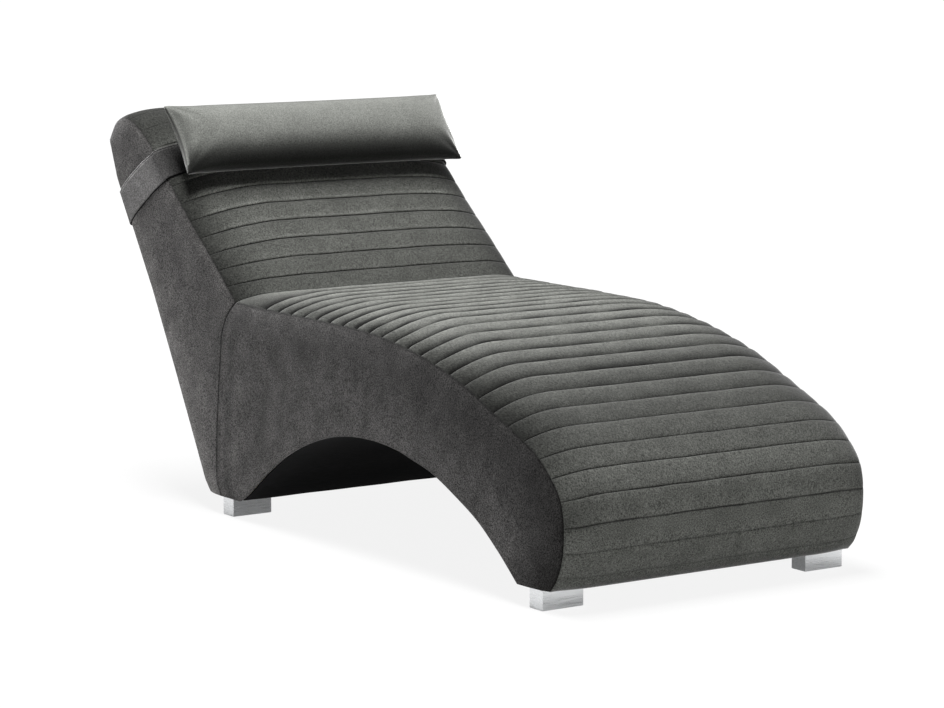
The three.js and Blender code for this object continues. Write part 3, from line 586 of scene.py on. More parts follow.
def shrunk(boundary, distance):
    """A boundary moved inwards by a small distance."""
    turn = np.roll(boundary, -1, axis=0) - np.roll(boundary, 1, axis=0)
    normal = np.stack([-turn[:, 1], turn[:, 0]], -1)
    normal /= np.linalg.norm(normal, axis=1, keepdims=True)
    area = np.sum(boundary[:, 0] * np.roll(boundary[:, 1], -1) - np.roll(boundary[:, 0], -1) * boundary[:, 1])
    if area < 0:
        normal = -normal
    return boundary + normal * distance


# Materials

def material(name, base, roughness, metallic=0.0):
    made = bpy.data.materials.new(name)
    made.use_nodes = True
    shader = made.node_tree.nodes["Principled BSDF"]
    shader.inputs["Base Color"].default_value = (*base, 1)
    shader.inputs["Roughness"].default_value = roughness
    shader.inputs["Metallic"].default_value = metallic
    return made, made.node_tree, shader


def noise_node(tree, scale, detail=3.0, roughness=0.55, stretch=None):
    coords = tree.nodes.new("ShaderNodeTexCoord")
    source = coords.outputs["Object"]
    if stretch:
        mapping = tree.nodes.new("ShaderNodeMapping")
        mapping.inputs["Scale"].default_value = stretch
        tree.links.new(source, mapping.inputs["Vector"])
        source = mapping.outputs["Vector"]
    node = tree.nodes.new("ShaderNodeTexNoise")
    node.inputs["Scale"].default_value = scale
    node.inputs["Detail"].default_value = detail
    node.inputs["Roughness"].default_value = roughness
    tree.links.new(source, node.inputs["Vector"])
    return node.outputs["Fac"]


def ramp(tree, source, low, high, dark, light):
    node = tree.nodes.new("ShaderNodeMapRange")
    node.inputs["From Min"].default_value = low
    node.inputs["From Max"].default_value = high
    node.inputs["To Min"].default_value = dark
    node.inputs["To Max"].default_value = light
    tree.links.new(source, node.inputs["Value"])
    return node.outputs["Result"]


def times(tree, a, b):
    node = tree.nodes.new("ShaderNodeMath")
    node.operation = "MULTIPLY"
    tree.links.new(a, node.inputs[0])
    tree.links.new(b, node.inputs[1])
    return node.outputs["Value"]


def tinted(tree, colour, factor):
    """A colour made lighter or darker by a factor."""
    node = tree.nodes.new("ShaderNodeVectorMath")
    node.operation = "SCALE"
    node.inputs[0].default_value = colour
    tree.links.new(factor, node.inputs["Scale"])
    return node.outputs["Vector"]


def bumped(tree, shader, height, strength, distance):
    node = tree.nodes.new("ShaderNodeBump")
    node.inputs["Strength"].default_value = strength
    node.inputs["Distance"].default_value = distance
    tree.links.new(height, node.inputs["Height"])
    tree.links.new(node.outputs["Normal"], shader.inputs["Normal"])


def velvet(name, base, sheen, sheen_roughness, tint, mottle, grain, nap_and_painted_light=None):
    made, tree, shader = material(name, base, 0.9)
    shader.inputs["Specular IOR Level"].default_value = 0.02
    shader.inputs["Sheen Weight"].default_value = sheen
    shader.inputs["Sheen Roughness"].default_value = sheen_roughness
    shader.inputs["Sheen Tint"].default_value = (*tint, 1)
    patches = ramp(tree, noise_node(tree, 17, 5, 0.65), 0.32, 0.68, 1 - mottle, 1 + mottle)
    fibres = ramp(tree, noise_node(tree, 400, 2, 0.65, nap_and_painted_light), 0.32, 0.68, 1 - grain, 1 + grain)
    # The mesh's painted light and shade multiplies the colour, together with the random patches and the fibres
    painted_light = tree.nodes.new("ShaderNodeAttribute")
    painted_light.attribute_name = "painted_light"
    shade = times(tree, times(tree, patches, fibres), painted_light.outputs["Fac"])
    tree.links.new(tinted(tree, base, shade), shader.inputs["Base Color"])
    bumped(tree, shader, noise_node(tree, 330, 2, 0.6), 0.45, 1.2 * MM)
    return made


def lining(name):
    made, tree, shader = material(name, (0.008, 0.008, 0.0085), 0.75)
    shader.inputs["Specular IOR Level"].default_value = 0.08
    weave = ramp(tree, noise_node(tree, 300, 3, 0.6, (0.15, 1, 1)), 0.3, 0.7, 0.6, 1.5)
    tree.links.new(tinted(tree, (0.009, 0.009, 0.0095), weave), shader.inputs["Base Color"])
    bumped(tree, shader, noise_node(tree, 900, 2, 0.6), 0.4, 0.3 * MM)
    return made


def brushed_metal(name, base, roughness, scale=260):
    made, tree, shader = material(name, base, roughness, 1.0)
    brushing = noise_node(tree, scale, 3, 0.6, (0.06, 0.06, 3))
    tree.links.new(ramp(tree, brushing, 0.3, 0.7, roughness * 0.75, roughness * 1.3), shader.inputs["Roughness"])
    tree.links.new(tinted(tree, base, ramp(tree, brushing, 0.3, 0.7, 0.9, 1.06)), shader.inputs["Base Color"])
    bumped(tree, shader, brushing, 0.12, 0.1 * MM)
    return made


def fibrous(name, base, roughness, scale, stretch, contrast):
    """Wood, board, foam and webbing: a colour varied by stretched noise."""
    made, tree, shader = material(name, base, roughness)
    grain = noise_node(tree, scale, 4, 0.6, stretch)
    low, high = 1 - contrast, 1 + contrast
    tree.links.new(tinted(tree, base, ramp(tree, grain, 0.3, 0.7, low, high)), shader.inputs["Base Color"])
    bumped(tree, shader, grain, 0.3, 0.4 * MM)
    return made


NAP = (1, 0.4, 1)  # the pile of the quilted cover lies along the seat

MATERIALS = {
    "velvet": velvet("quilt_velvet", (0.082, 0.084, 0.077), 0.6, 0.34, (1, 0.99, 1), 0.14, 0.62, NAP),
    "side_velvet": velvet("side_velvet", (0.095, 0.092, 0.09), 0.35, 0.35, (0.75, 0.74, 0.76), 0.3, 0.9),
    "strap_velvet": velvet("strap_velvet", (0.1, 0.098, 0.097), 0.4, 0.35, (0.75, 0.74, 0.76), 0.15, 0.65),
    "pillow_velvet": velvet("pillow_velvet", (0.12, 0.123, 0.114), 1.0, 0.35, (1, 1, 0.98), 0.1, 0.36),
    "lining": lining("lining"),
    "foam": fibrous("foam", (0.7, 0.63, 0.46), 0.95, 500, None, 0.12),
    "wadding": fibrous("wadding", (0.75, 0.75, 0.73), 1.0, 160, None, 0.12),
    "plywood": fibrous("plywood", (0.5, 0.34, 0.18), 0.65, 60, (0.3, 0.3, 4), 0.3),
    "hardboard": fibrous("hardboard", (0.2, 0.11, 0.06), 0.7, 300, None, 0.25),
    "webbing": fibrous("webbing", (0.03, 0.03, 0.035), 0.85, 400, (1, 0.2, 0.2), 0.4),
    "foot_metal": brushed_metal("foot_metal", (0.72, 0.73, 0.74), 0.3),
    "steel": brushed_metal("steel", (0.5, 0.5, 0.51), 0.4),
}


def dress(piece, kind, slot, body, *replaced):
    piece.data.materials.clear()
    piece.data.materials.append(MATERIALS[kind])
    if replaced:
        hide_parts(*replaced)
    if body:
        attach(piece, body)
    return piece


# Pieces

def make_quilts():
    seat = quilted_cover("seat_cover", SEAT, SEAT_LINES, SEAT_BAND, SEAT_SHAPE, SEAT_EDGE, 3, True, False)
    back = quilted_cover("back_cover", BACK, BACK_LINES, BACK_BAND, BACK_SHAPE, BACK_EDGE, 7, False, True)
    dress(seat, "velvet", "velvet", "lounger", "seat_quilt")
    dress(back, "velvet", "velvet", "lounger", "back_quilt")


def make_sides():
    seat, back = side_boundaries()
    for name, sign in (("left", -1), ("right", 1)):
        seat_surface = side_surface(11, side_seam_run(SEAT, SEAT_SHAPE, 5 * MM), seat)
        piece = panel(f"seat_side_{name}", shrunk(seat, FIT), sign, seat_surface, seat_side_painted_shade, COVER_THICKNESS)
        dress(piece, "side_velvet", "velvet", "lounger", f"side_cover_seat_{name}")
        seams = np.vstack([side_seam_run(BACK, BACK_SHAPE, 5 * MM), REAR.spaced(5 * MM)[1:]])
        back_surface = side_surface(12, seams, back)
        piece = panel(f"back_side_{name}", shrunk(back, FIT), sign, back_surface, back_side_painted_light, COVER_THICKNESS)
        dress(piece, "side_velvet", "velvet", "lounger", f"side_cover_back_{name}")


def make_rear():
    x = across_columns(SEAM_HALF - FIT, 12 * MM)
    s = np.linspace(FIT, REAR.length - FIT, round(REAR.length / (9 * MM)))
    grid_s = np.broadcast_to(s[:, None], (len(s), len(x)))
    crown = eased(SEAM_HALF - np.abs(x), REAR_CROWN_WIDTH)[None, :]
    crown = crown * eased(np.minimum(s, REAR.length - s), 40 * MM)[:, None]
    lift = REAR_CROWN * crown
    columns = np.broadcast_to(x[None, :], grid_s.shape)
    outer = place_on(REAR, columns, grid_s, lift)
    inner = place_on(REAR, columns, grid_s, lift - COVER_THICKNESS)
    piece = shell("rear_panel_cover", outer, inner)
    dress(piece, "side_velvet", "velvet", "lounger", "rear_cover")


def make_arch():
    half = SEAM_HALF - 1 * MM
    x = across_columns(half, 14 * MM)
    s = np.linspace(FIT, ARCH.length - FIT, round(ARCH.length / (10 * MM)))
    grid_s = np.broadcast_to(s[:, None], (len(s), len(x)))
    columns = np.broadcast_to(x[None, :], grid_s.shape)
    lift = 0.4 * MM * waves(columns, 21, (0.21, 0.13), grid_s * 9)
    outer = place_on(ARCH, columns, grid_s, np.full_like(lift, 3 * MM))
    inner = place_on(ARCH, columns, grid_s, lift + 0.6 * MM)
    piece = shell("arch_lining", outer, inner)
    dress(piece, "lining", "lining", "lounger", "arch_cover")


def dress_frame():
    kinds = {m["node"]: m["material_slot"] for m in frame["record"]["subparts"]}
    for node, piece in frame["nodes"].items():
        kind = kinds[node]
        piece.data.materials.clear()
        piece.data.materials.append(MATERIALS[kind if kind in MATERIALS else "velvet"])


# Neck pillow

PILLOW_LENGTH = 2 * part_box("neck_pillow")[1].x
PILLOW_WIDTH = 166 * MM  # over its corners
PILLOW_DEPTH = 50 * MM
PILLOW_PINCH = (10 * MM, 7.5 * MM)  # how far its ends and its long edges draw in
PILLOW_CUT = (1.035, 1.22)  # its cloth laid flat, against the finished length and width
PILLOW_TURN = math.radians(12)  # how much steeper it stands than the backrest
# Painted shade on the pillow's lower part: share of the half width up from the middle, how light the colour is painted
PILLOW_SHADES = (
    (-0.93, 0.09), (-0.76, 0.14), (-0.6, 0.33), (-0.44, 0.65), (-0.24, 0.91), (0, 0.97), (1, 1),
)
PILLOW_END_SHARE = 0.8
PILLOW_END_LIP_PAINTED_LIGHT = 2.1  # how light the colour is painted beside the seams of both ends, a painted highlight
PILLOW_FOLDS = 2.2 * MM
PILLOW_FOLD_REACH = 60 * MM
PILLOW_FOLD_COUNT = 3
PILLOW_CELL = 6.2 * MM
PILLOW_FRAMES = 30


def pillow_mesh():
    """Two faces that share their seam. The first shape is a lens, the second the flat cloth."""
    columns = round(PILLOW_LENGTH * PILLOW_CUT[0] / PILLOW_CELL)
    rows = round(PILLOW_WIDTH * PILLOW_CUT[1] / PILLOW_CELL)
    u, v = np.meshgrid(np.linspace(-1, 1, columns + 1), np.linspace(-1, 1, rows + 1))
    bulge = np.sqrt(np.clip((1 - u**8) * (1 - v**2), 0, 1))
    x = u * (PILLOW_LENGTH / 2 - PILLOW_PINCH[0] * (1 - v**2))
    y = v * (PILLOW_WIDTH / 2 - PILLOW_PINCH[1] * (1 - u**10))
    front = np.stack([x, y, PILLOW_DEPTH * 0.8 * bulge], -1)
    rear = front * (1, 1, -1)
    flat_size = (PILLOW_LENGTH * PILLOW_CUT[0] / 2, PILLOW_WIDTH * PILLOW_CUT[1] / 2)
    flat = np.stack([u * flat_size[0], v * flat_size[1], np.zeros_like(u)], -1)
    inside = np.zeros(u.shape, bool)
    inside[1:-1, 1:-1] = True
    index = np.arange(u.size).reshape(u.shape)
    rear_index = index.copy()
    rear_index[inside] = u.size + np.arange(inside.sum())
    faces = []
    for grid, flipped in ((index, False), (rear_index, True)):
        quads = np.stack([grid[:-1, :-1], grid[:-1, 1:], grid[1:, 1:], grid[1:, :-1]], -1).reshape(-1, 4)
        faces.append(quads[:, ::-1] if flipped else quads)
    vertices = np.vstack([front.reshape(-1, 3), rear[inside]])
    laid = np.vstack([flat.reshape(-1, 3), flat[inside]])
    seam = np.concatenate([~inside.reshape(-1), np.zeros(inside.sum(), bool)])
    return vertices, laid, np.vstack(faces), seam


def inflated(piece, laid, seam, frames):
    """Blows a piece up from its flat cloth, held at its seam, and gives back the mesh."""
    held = piece.vertex_groups.new(name="held")
    held.add([int(i) for i in np.flatnonzero(seam)], 1.0, "REPLACE")
    piece.shape_key_add(name="start")
    cloth_key = piece.shape_key_add(name="flat")
    cloth_key.data.foreach_set("co", laid.astype(np.float32).ravel())
    cloth = piece.modifiers.new("cloth", "CLOTH")
    settings = cloth.settings
    settings.rest_shape_key = cloth_key
    settings.vertex_group_mass = "held"
    settings.quality = 8
    settings.mass = 0.3
    settings.tension_stiffness = 60
    settings.compression_stiffness = 30
    settings.shear_stiffness = 12
    settings.bending_stiffness = 0.35
    settings.air_damping = 6
    settings.use_pressure = True
    settings.uniform_pressure_force = 5
    settings.effector_weights.gravity = 0
    cloth.collision_settings.use_collision = False
    cloth.point_cache.frame_start = 1
    cloth.point_cache.frame_end = frames
    smooth = piece.modifiers.new("smooth", "SUBSURF")
    smooth.levels = 1
    for frame_number in range(1, frames + 1):
        bpy.context.scene.frame_set(frame_number)
    graph = bpy.context.evaluated_depsgraph_get()
    blown = bpy.data.meshes.new_from_object(piece.evaluated_get(graph), preserve_all_data_layers=True, depsgraph=graph)
    bpy.context.scene.frame_set(1)
    return blown


def vertex_array(mesh):
    values = np.zeros(len(mesh.vertices) * 3, np.float32)
    mesh.vertices.foreach_get("co", values)
    return values.reshape(-1, 3).astype(float)


def normal_array(mesh):
    values = np.zeros(len(mesh.vertices) * 3, np.float32)
    mesh.vertex_normals.foreach_get("vector", values)
    return values.reshape(-1, 3).astype(float)


def fitted_pillow(points):
    """Scales the blown shape to its finished length, width and depths."""
    fitted = points - (points.max(0) + points.min(0)) / 2 * (1, 1, 0)
    fitted[:, 0] *= PILLOW_LENGTH / np.ptp(points[:, 0])
    fitted[:, 1] *= PILLOW_WIDTH / np.ptp(points[:, 1])
    front = fitted[:, 2] > 0
    fitted[front, 2] *= PILLOW_DEPTH / points[:, 2].max()
    fitted[~front, 2] *= PILLOW_DEPTH / -points[:, 2].min()
    return fitted


def corner_folds(points):
    """Small folds that run out from each corner, from -1 to 1."""
    folds = np.zeros(len(points))
    for k, (end, edge) in enumerate(((-1, -1), (-1, 1), (1, -1), (1, 1))):
        inward_x = PILLOW_LENGTH / 2 - end * points[:, 0]
        inward_y = PILLOW_WIDTH / 2 - edge * points[:, 1]
        away = np.hypot(inward_x, inward_y) / PILLOW_FOLD_REACH
        turn = np.arctan2(inward_y, inward_x)
        folds += np.sin(PILLOW_FOLD_COUNT * 4 * turn + 2 * k) * np.clip(away, 0, 1) * np.exp(-(away**2))
    return folds


def seam_marked(mesh, seam):
    """Sinks the seam between two small lips, raises small folds at the corners, and paints light and shade: painted
    shade below and in the seam, painted highlights on the lips and on the folds.
    """
    points = vertex_array(mesh)
    up = points[:, 1] / (PILLOW_WIDTH / 2)
    below = np.interp(up, [at for at, _ in PILLOW_SHADES], [shade for _, shade in PILLOW_SHADES])
    normals = normal_array(mesh)
    edges = np.array([e.vertices[:] for e in mesh.edges])
    on_seam = seam > 0.99
    touching = np.zeros(len(points), bool)
    for a, b in ((0, 1), (1, 0)):
        touching[edges[on_seam[edges[:, a]], b]] = True
    lip = touching & ~on_seam
    second = np.zeros(len(points), bool)
    for a, b in ((0, 1), (1, 0)):
        second[edges[lip[edges[:, a]], b]] = True
    second &= ~(lip | on_seam)
    end = PILLOW_LENGTH / 2 - PILLOW_PINCH[0] * (1 - up**2) - 2 * PILLOW_CELL
    at_end = (np.abs(points[:, 0]) > end) & (np.abs(up) < PILLOW_END_SHARE)
    # Painted shade on the lower part and in the seam, painted highlights on the lips
    painted_light = below
    painted_light[second] *= 1.15
    painted_light[lip] *= 1.7
    painted_light[lip & at_end] = PILLOW_END_LIP_PAINTED_LIGHT
    painted_light[on_seam] *= 0.3
    folds = corner_folds(points) * ~(lip | on_seam)
    points += normals * (PILLOW_FOLDS * folds)[:, None]
    # Painted light and shade on the corner folds, beside their real relief
    painted_light *= 1 + 0.22 * folds
    inward = -points * (1, 1, 0)
    inward /= np.linalg.norm(inward, axis=1, keepdims=True) + 1e-9
    points[on_seam] += inward[on_seam] * 1.0 * MM
    points[lip] += normals[lip] * 0.9 * MM
    mesh.vertices.foreach_set("co", points.astype(np.float32).ravel())
    set_painted_light(mesh, painted_light)


def make_pillow():
    vertices, laid, faces, seam = pillow_mesh()
    piece = new_object("pillow", vertices, faces)
    mark = piece.data.attributes.new("seam", "FLOAT", "POINT")
    mark.data.foreach_set("value", seam.astype(np.float32))
    blown = inflated(piece, laid, seam, PILLOW_FRAMES)
    bpy.data.objects.remove(piece)
    blown.name = "pillow"
    points = fitted_pillow(vertex_array(blown))
    blown.vertices.foreach_set("co", points.astype(np.float32).ravel())
    blown.update()
    share = np.zeros(len(points), np.float32)
    blown.attributes["seam"].data.foreach_get("value", share)
    seam_marked(blown, share)
    low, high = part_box("neck_pillow")
    turn = Matrix.Rotation(math.atan2(*FRONT.along(0)[::-1]) + PILLOW_TURN, 4, "X")
    blown.transform(Matrix.Translation((low + high) / 2) @ turn)
    blown.shade_smooth()
    piece = bpy.data.objects.new("pillow", blown)
    bpy.context.scene.collection.objects.link(piece)
    dress(piece, "pillow_velvet", "pillow_velvet", "headrest", "neck_pillow")


# Strap

STRAP_WIDTH = 80 * MM
STRAP_THICKNESS = 1.8 * MM
STRAP_OVER = 2.6 * MM  # inner face of the strap over the crowned surface
STRAP_FRONT_SHARE = 0.861
STRAP_REAR_SHARE = 0.27
STRAP_REAR = REAR.at_point[1] + STRAP_REAR_SHARE * (REAR.at_point[2] - REAR.at_point[1])
# Across the band from an edge: millimetres, height, and how light the colour is painted: a painted shadow line along
# the lower edge
STRAP_LOW_HEM = ((0, -1.3, 0.03), (0.8, -0.7, 0.05), (1.9, -0.1, 0.15), (3, 0.1, 0.8), (7, 0, 1))
# Round the side seam from the front to the side: millimetres past the seam, how light the colour is painted: painted
# shade on the front by the pillow, painted light on the side
STRAP_TURN = ((-60, 0.25), (-12, 0.27), (6, 0.42), (22, 1.2), (45, 2.1), (90, 2.5))
# The upper hem: painted highlights on two lines with painted shade in the groove between
STRAP_HIGH_HEM = (
    (0, -0.4, 1.4), (0.5, 0.1, 2.9), (1.6, 0.3, 2.6), (2.6, -0.3, 0.3), (3.6, -0.3, 0.3),
    (4.6, 0.2, 2.0), (6, 0.1, 1.6), (9, 0, 1.05),
)


def strap_rows():
    """Places across the band with their height over it and the painted light and shade."""
    low = [(-STRAP_WIDTH / 2 + at * MM, height * MM, painted_light) for at, height, painted_light in STRAP_LOW_HEM]
    middle = [(w, 0.0, 1.0) for w in np.linspace(-0.36, 0.36, 9) * STRAP_WIDTH]
    high = [(STRAP_WIDTH / 2 - at * MM, height * MM, painted_light) for at, height, painted_light in STRAP_HIGH_HEM[::-1]]
    return [np.array(values) for values in zip(*(low + middle + high))]


def strap_painted_light(points):
    """Painted light and shade on the strap, from the front round the side seam to the side."""
    beside, _ = distance_to(FRONT.points, points[..., 1:].reshape(-1, 2))
    past_seam = np.where(np.abs(points[..., 0]) < SEAM_HALF, np.abs(points[..., 0]) - SEAM_HALF, 0)
    place, light = np.array(STRAP_TURN).T
    return np.interp(beside.reshape(past_seam.shape) + past_seam, place * MM, light)


def strap_piece(name, path, body, node):
    """A band from a function that gives, for the places across, a row of points with outward vectors."""
    width, height, painted_light = strap_rows()
    points, outs = path(width)
    outer = points + outs * (STRAP_THICKNESS + height[:, None, None])
    light = 1.0 if name == "strap_band_rear" else strap_painted_light(points)
    piece = shell(name, outer, points, painted_light[:, None] * light)
    dress(piece, "strap_velvet", "velvet", body, node)
    return piece


def strap_section(crown_height, crown_width, drop):
    """Across one half: places as (X, lift over the track), from the middle to down over the seam."""
    flat = np.linspace(0, SEAM_HALF - 70 * MM, 16, endpoint=False)
    curved = SEAM_HALF - 70 * MM * (1 - np.linspace(0, 1, 26)) ** 1.6
    x = np.concatenate([flat, curved])
    shoulder = 1 - eased(SEAM_HALF - x, SHOULDER_WIDTH, 2.0, 0.8)
    lift = crown_height * eased(SEAM_HALF - x, crown_width) - drop * shoulder
    run = Track(np.column_stack([x, lift]))
    out = run.out(run.at_point)
    x, lift = (run.points + out * STRAP_OVER).T
    below = np.array([0.6, 1.6, 3]) * MM
    x = np.concatenate([x, SEAM_HALF + STRAP_OVER * np.array([1.1, 1.3, 1.4])])
    return x, np.concatenate([lift, -drop - below])


def across_path(track, middle, direction, crown_height, crown_width, drop):
    """The band across the front or the rear, turned down over both side seams."""
    x, lift = strap_section(crown_height, crown_width, drop)
    run = Track(np.column_stack([np.concatenate([-x[:0:-1], x]), np.concatenate([lift[:0:-1], lift])]))
    turned = run.out(run.at_point)

    def path(width):
        s = middle + direction * width
        grid_s = np.broadcast_to(s[:, None], (len(s), len(turned)))
        columns = np.broadcast_to(run.points[:, 0], grid_s.shape)
        points = place_on(track, columns, grid_s, np.broadcast_to(run.points[:, 1], grid_s.shape))
        sideways = np.broadcast_to(turned[None, :, :1], points.shape[:2] + (1,))
        outs = np.concatenate([sideways, track.out(s)[:, None, :] * turned[None, :, 1:]], -1)
        return (points, outs) if direction > 0 else (points[:, ::-1], outs[:, ::-1])

    return path


def side_path(sign, front_end, rear_end):
    """The band over one side, from the front seam to the rear edge."""
    seat, back = side_boundaries()
    seams = np.vstack([side_seam_run(BACK, BACK_SHAPE, 5 * MM), REAR.spaced(5 * MM)[1:]])
    surface = side_surface(12, seams, back)

    def path(width):
        front_s = STRAP_FRONT_SHARE * FRONT.length + width
        rear_s = STRAP_REAR - width
        front = FRONT.at(front_s) + FRONT.out(front_s) * front_end[1]
        rear = REAR.at(rear_s) + REAR.out(rear_s) * rear_end[1]
        shares = np.linspace(0, 1, 34)
        flat = front[:, None] * (1 - shares[None, :, None]) + rear[:, None] * shares[None, :, None]
        over = surface(flat.reshape(-1, 2)).reshape(flat.shape[:2])
        ease = np.clip(np.minimum(shares, 1 - shares) / 0.2, 0, 1)[None, :] ** 0.7
        x = front_end[0] * (1 - ease) + (over + 1.2 * MM) * ease
        x = np.maximum(x, over + 1.0 * MM)
        points = np.concatenate([sign * x[..., None], flat], -1)
        outs = np.zeros_like(points)
        outs[..., 0] = sign
        return (points, outs) if sign < 0 else (points[:, ::-1], outs[:, ::-1])

    return path


def strap_end(crown_height, crown_width, drop):
    x, lift = strap_section(crown_height, crown_width, drop)
    return x[-1], lift[-1]


def make_strap():
    front = STRAP_FRONT_SHARE * FRONT.length
    front_drop = shape_along(BACK, BACK_SHAPE, front)[0]
    front_section = (CROWN, CROWN_WIDTH, front_drop)
    rear_section = (REAR_CROWN, REAR_CROWN_WIDTH, 0)
    across = across_path(FRONT, front, 1, *front_section)
    strap_piece("strap_band_front", across, "headrest", "strap_front")
    for name, sign in (("left", -1), ("right", 1)):
        path = side_path(sign, strap_end(*front_section), strap_end(*rear_section))
        piece = strap_piece(f"strap_band_{name}", path, None, f"strap_{name}")
        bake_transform(piece)
    across = across_path(REAR, STRAP_REAR, -1, *rear_section)
    strap_piece("strap_band_rear", across, "rear_band", "strap_rear")


# Padding inside the covers

def softened(node):
    """A copy of a soft solid with rounded edges, in place of the plain one."""
    source = frame["nodes"][node]
    mesh = source.data.copy()
    mesh.name = f"{node}_pad"
    shape = bmesh.new()
    shape.from_mesh(mesh)
    bmesh.ops.remove_doubles(shape, verts=shape.verts, dist=0.01 * MM)
    sharp = [e for e in shape.edges if len(e.link_faces) == 2 and e.calc_face_angle() > math.radians(50)]
    bmesh.ops.bevel(shape, geom=sharp, offset=1.2 * MM, segments=2, affect="EDGES", clamp_overlap=True)
    shape.to_mesh(mesh)
    shape.free()
    set_painted_light(mesh)
    mesh.shade_smooth()
    piece = bpy.data.objects.new(f"{node}_pad", mesh)
    bpy.context.scene.collection.objects.link(piece)
    return piece


def lowered(piece, track, table):
    """Brings the edges of a foam down under the shoulders of the cover."""
    points = vertex_array(piece.data)
    gap, place = distance_to(track.spaced(5 * MM), points[:, 1:])
    shoulder = 1 - eased(SEAM_HALF - np.abs(points[:, 0]), SHOULDER_WIDTH, 2.0, 0.8)
    drop = shape_along(track, table, place)[0] * shoulder * (gap < SHOULDER_DEPTH)
    points[:, 1:] -= track.out(place) * drop[:, None]
    piece.data.vertices.foreach_set("co", points.astype(np.float32).ravel())


def make_padding():
    tracks = {"seat_foam": (SEAT, SEAT_SHAPE), "back_foam": (BACK, BACK_SHAPE)}
    for node in ("seat_foam", "back_foam", "side_foam_left", "side_foam_right"):
        piece = dress(softened(node), "foam", "foam", "lounger", node)
        if node in tracks:
            lowered(piece, *tracks[node])
    piece = dress(softened("rear_wadding"), "wadding", "wadding", "lounger", "rear_wadding")
    for node in ("base_cloth_front", "base_cloth_rear"):
        piece = dress(softened(node), "lining", "lining", "lounger", node)


# Camera, light and floor

CAMERA_AZIMUTH = math.radians(-34.48)
CAMERA_PITCH = math.radians(8.08)
CAMERA_FOCAL = 3350  # pixels
IMAGE_WIDTH = 944  # pixels
SENSOR = 36  # millimetres of film
CAMERA_FROM_FEET = Vector((-3.770, -4.757, 1.296))  # from the front of the front feet, at X = 0


def make_camera():
    data = bpy.data.cameras.new("camera")
    data.sensor_width = SENSOR
    data.lens = CAMERA_FOCAL * SENSOR / IMAGE_WIDTH
    data.clip_end = 60
    camera = bpy.data.objects.new("camera", data)
    bpy.context.scene.collection.objects.link(camera)
    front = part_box("foot_front_left")[0].y
    camera.location = CAMERA_FROM_FEET + Vector((0, front, 0))
    back = Vector((
        math.sin(CAMERA_AZIMUTH) * math.cos(CAMERA_PITCH),
        -math.cos(CAMERA_AZIMUTH) * math.cos(CAMERA_PITCH),
        math.sin(CAMERA_PITCH),
    ))
    camera.rotation_euler = back.to_track_quat("Z", "Y").to_euler()
    bpy.context.scene.camera = camera


def seen_directly(tree, glossy_share):
    """1 where the camera or a glass sees the surface itself, and a share of that in a mirror."""
    path = tree.nodes.new("ShaderNodeLightPath")
    mirrored = tree.nodes.new("ShaderNodeMath")
    mirrored.operation = "MULTIPLY"
    mirrored.inputs[1].default_value = glossy_share
    tree.links.new(path.outputs["Is Glossy Ray"], mirrored.inputs[0])
    total = path.outputs["Is Camera Ray"]
    for source in (path.outputs["Is Transmission Ray"], mirrored.outputs["Value"]):
        node = tree.nodes.new("ShaderNodeMath")
        node.operation = "MAXIMUM"
        tree.links.new(total, node.inputs[0])
        tree.links.new(source, node.inputs[1])
        total = node.outputs["Value"]
    return total


def make_world():
    world = bpy.data.worlds.new("studio")
    bpy.context.scene.world = world
    world.use_nodes = True
    tree = world.node_tree
    tree.nodes.clear()
    soft = tree.nodes.new("ShaderNodeBackground")
    soft.inputs["Color"].default_value = (1, 1, 1, 1)
    soft.inputs["Strength"].default_value = 0.03
    white = tree.nodes.new("ShaderNodeBackground")
    white.inputs["Color"].default_value = (1, 1, 1, 1)
    white.inputs["Strength"].default_value = 1.05
    mix = tree.nodes.new("ShaderNodeMixShader")
    out = tree.nodes.new("ShaderNodeOutputWorld")
    tree.links.new(seen_directly(tree, 0.7), mix.inputs["Fac"])
    tree.links.new(soft.outputs["Background"], mix.inputs[1])
    tree.links.new(white.outputs["Background"], mix.inputs[2])
    tree.links.new(mix.outputs["Shader"], out.inputs["Surface"])


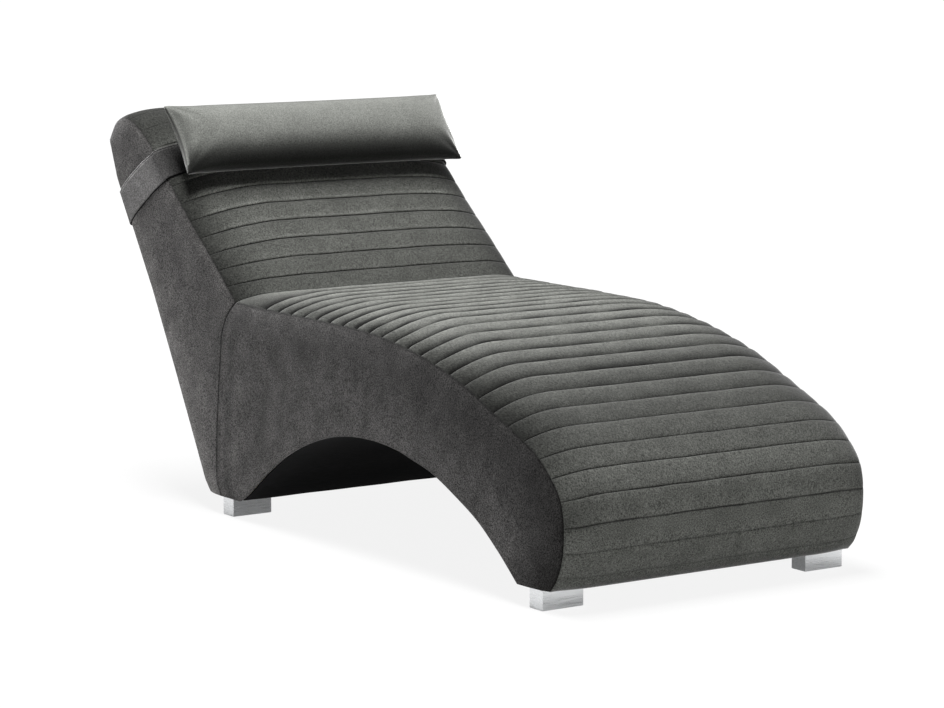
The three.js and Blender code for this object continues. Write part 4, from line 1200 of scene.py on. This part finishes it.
def make_floor():
    size = 14
    corners = [(-size, -size, 0), (size, -size, 0), (size, size, 0), (-size, size, 0)]
    floor = new_object("floor", corners, [(0, 1, 2, 3)], smooth=False)
    made = bpy.data.materials.new("floor")
    made.use_nodes = True
    tree = made.node_tree
    shader = tree.nodes["Principled BSDF"]
    shader.inputs["Base Color"].default_value = (0.6, 0.6, 0.6, 1)
    shader.inputs["Roughness"].default_value = 0.9
    glow = tree.nodes.new("ShaderNodeEmission")
    glow.inputs["Strength"].default_value = 1.05
    coords = tree.nodes.new("ShaderNodeTexCoord")
    away = tree.nodes.new("ShaderNodeVectorMath")
    away.operation = "LENGTH"
    tree.links.new(coords.outputs["Object"], away.inputs[0])
    near_to_far = ramp(tree, away.outputs["Value"], 1.0, 2.8, 0.84, 1.0)
    share = tree.nodes.new("ShaderNodeMath")
    share.operation = "MULTIPLY"
    tree.links.new(seen_directly(tree, 0.2), share.inputs[0])
    tree.links.new(near_to_far, share.inputs[1])
    mix = tree.nodes.new("ShaderNodeMixShader")
    tree.links.new(share.outputs["Value"], mix.inputs["Fac"])
    tree.links.new(shader.outputs["BSDF"], mix.inputs[1])
    tree.links.new(glow.outputs["Emission"], mix.inputs[2])
    tree.links.new(mix.outputs["Shader"], tree.nodes["Material Output"].inputs["Surface"])
    floor.data.materials.append(made)


def make_lamp(name, place, target, size, power):
    data = bpy.data.lights.new(name, "AREA")
    data.shape = "RECTANGLE"
    data.size, data.size_y = size
    data.energy = power
    lamp = bpy.data.objects.new(name, data)
    bpy.context.scene.collection.objects.link(lamp)
    lamp.location = place
    lamp.visible_camera = False
    lamp.rotation_euler = (Vector(place) - Vector(target)).to_track_quat("Z", "Y").to_euler()


def make_studio():
    make_world()
    make_floor()
    make_lamp("top", (-0.3, 0.2, 3.6), (0, 0.1, 0.4), (3.0, 1.3), 300)
    make_lamp("floor_bounce", (0.3, -2.3, 0.02), (0, -0.9, 1.0), (2.4, 1.6), 26)


bpy.context.scene.view_settings.view_transform = "Standard"
make_camera()
make_studio()
dress_frame()
make_quilts()
make_sides()
make_rear()
make_arch()
make_padding()
make_strap()
make_pillow()
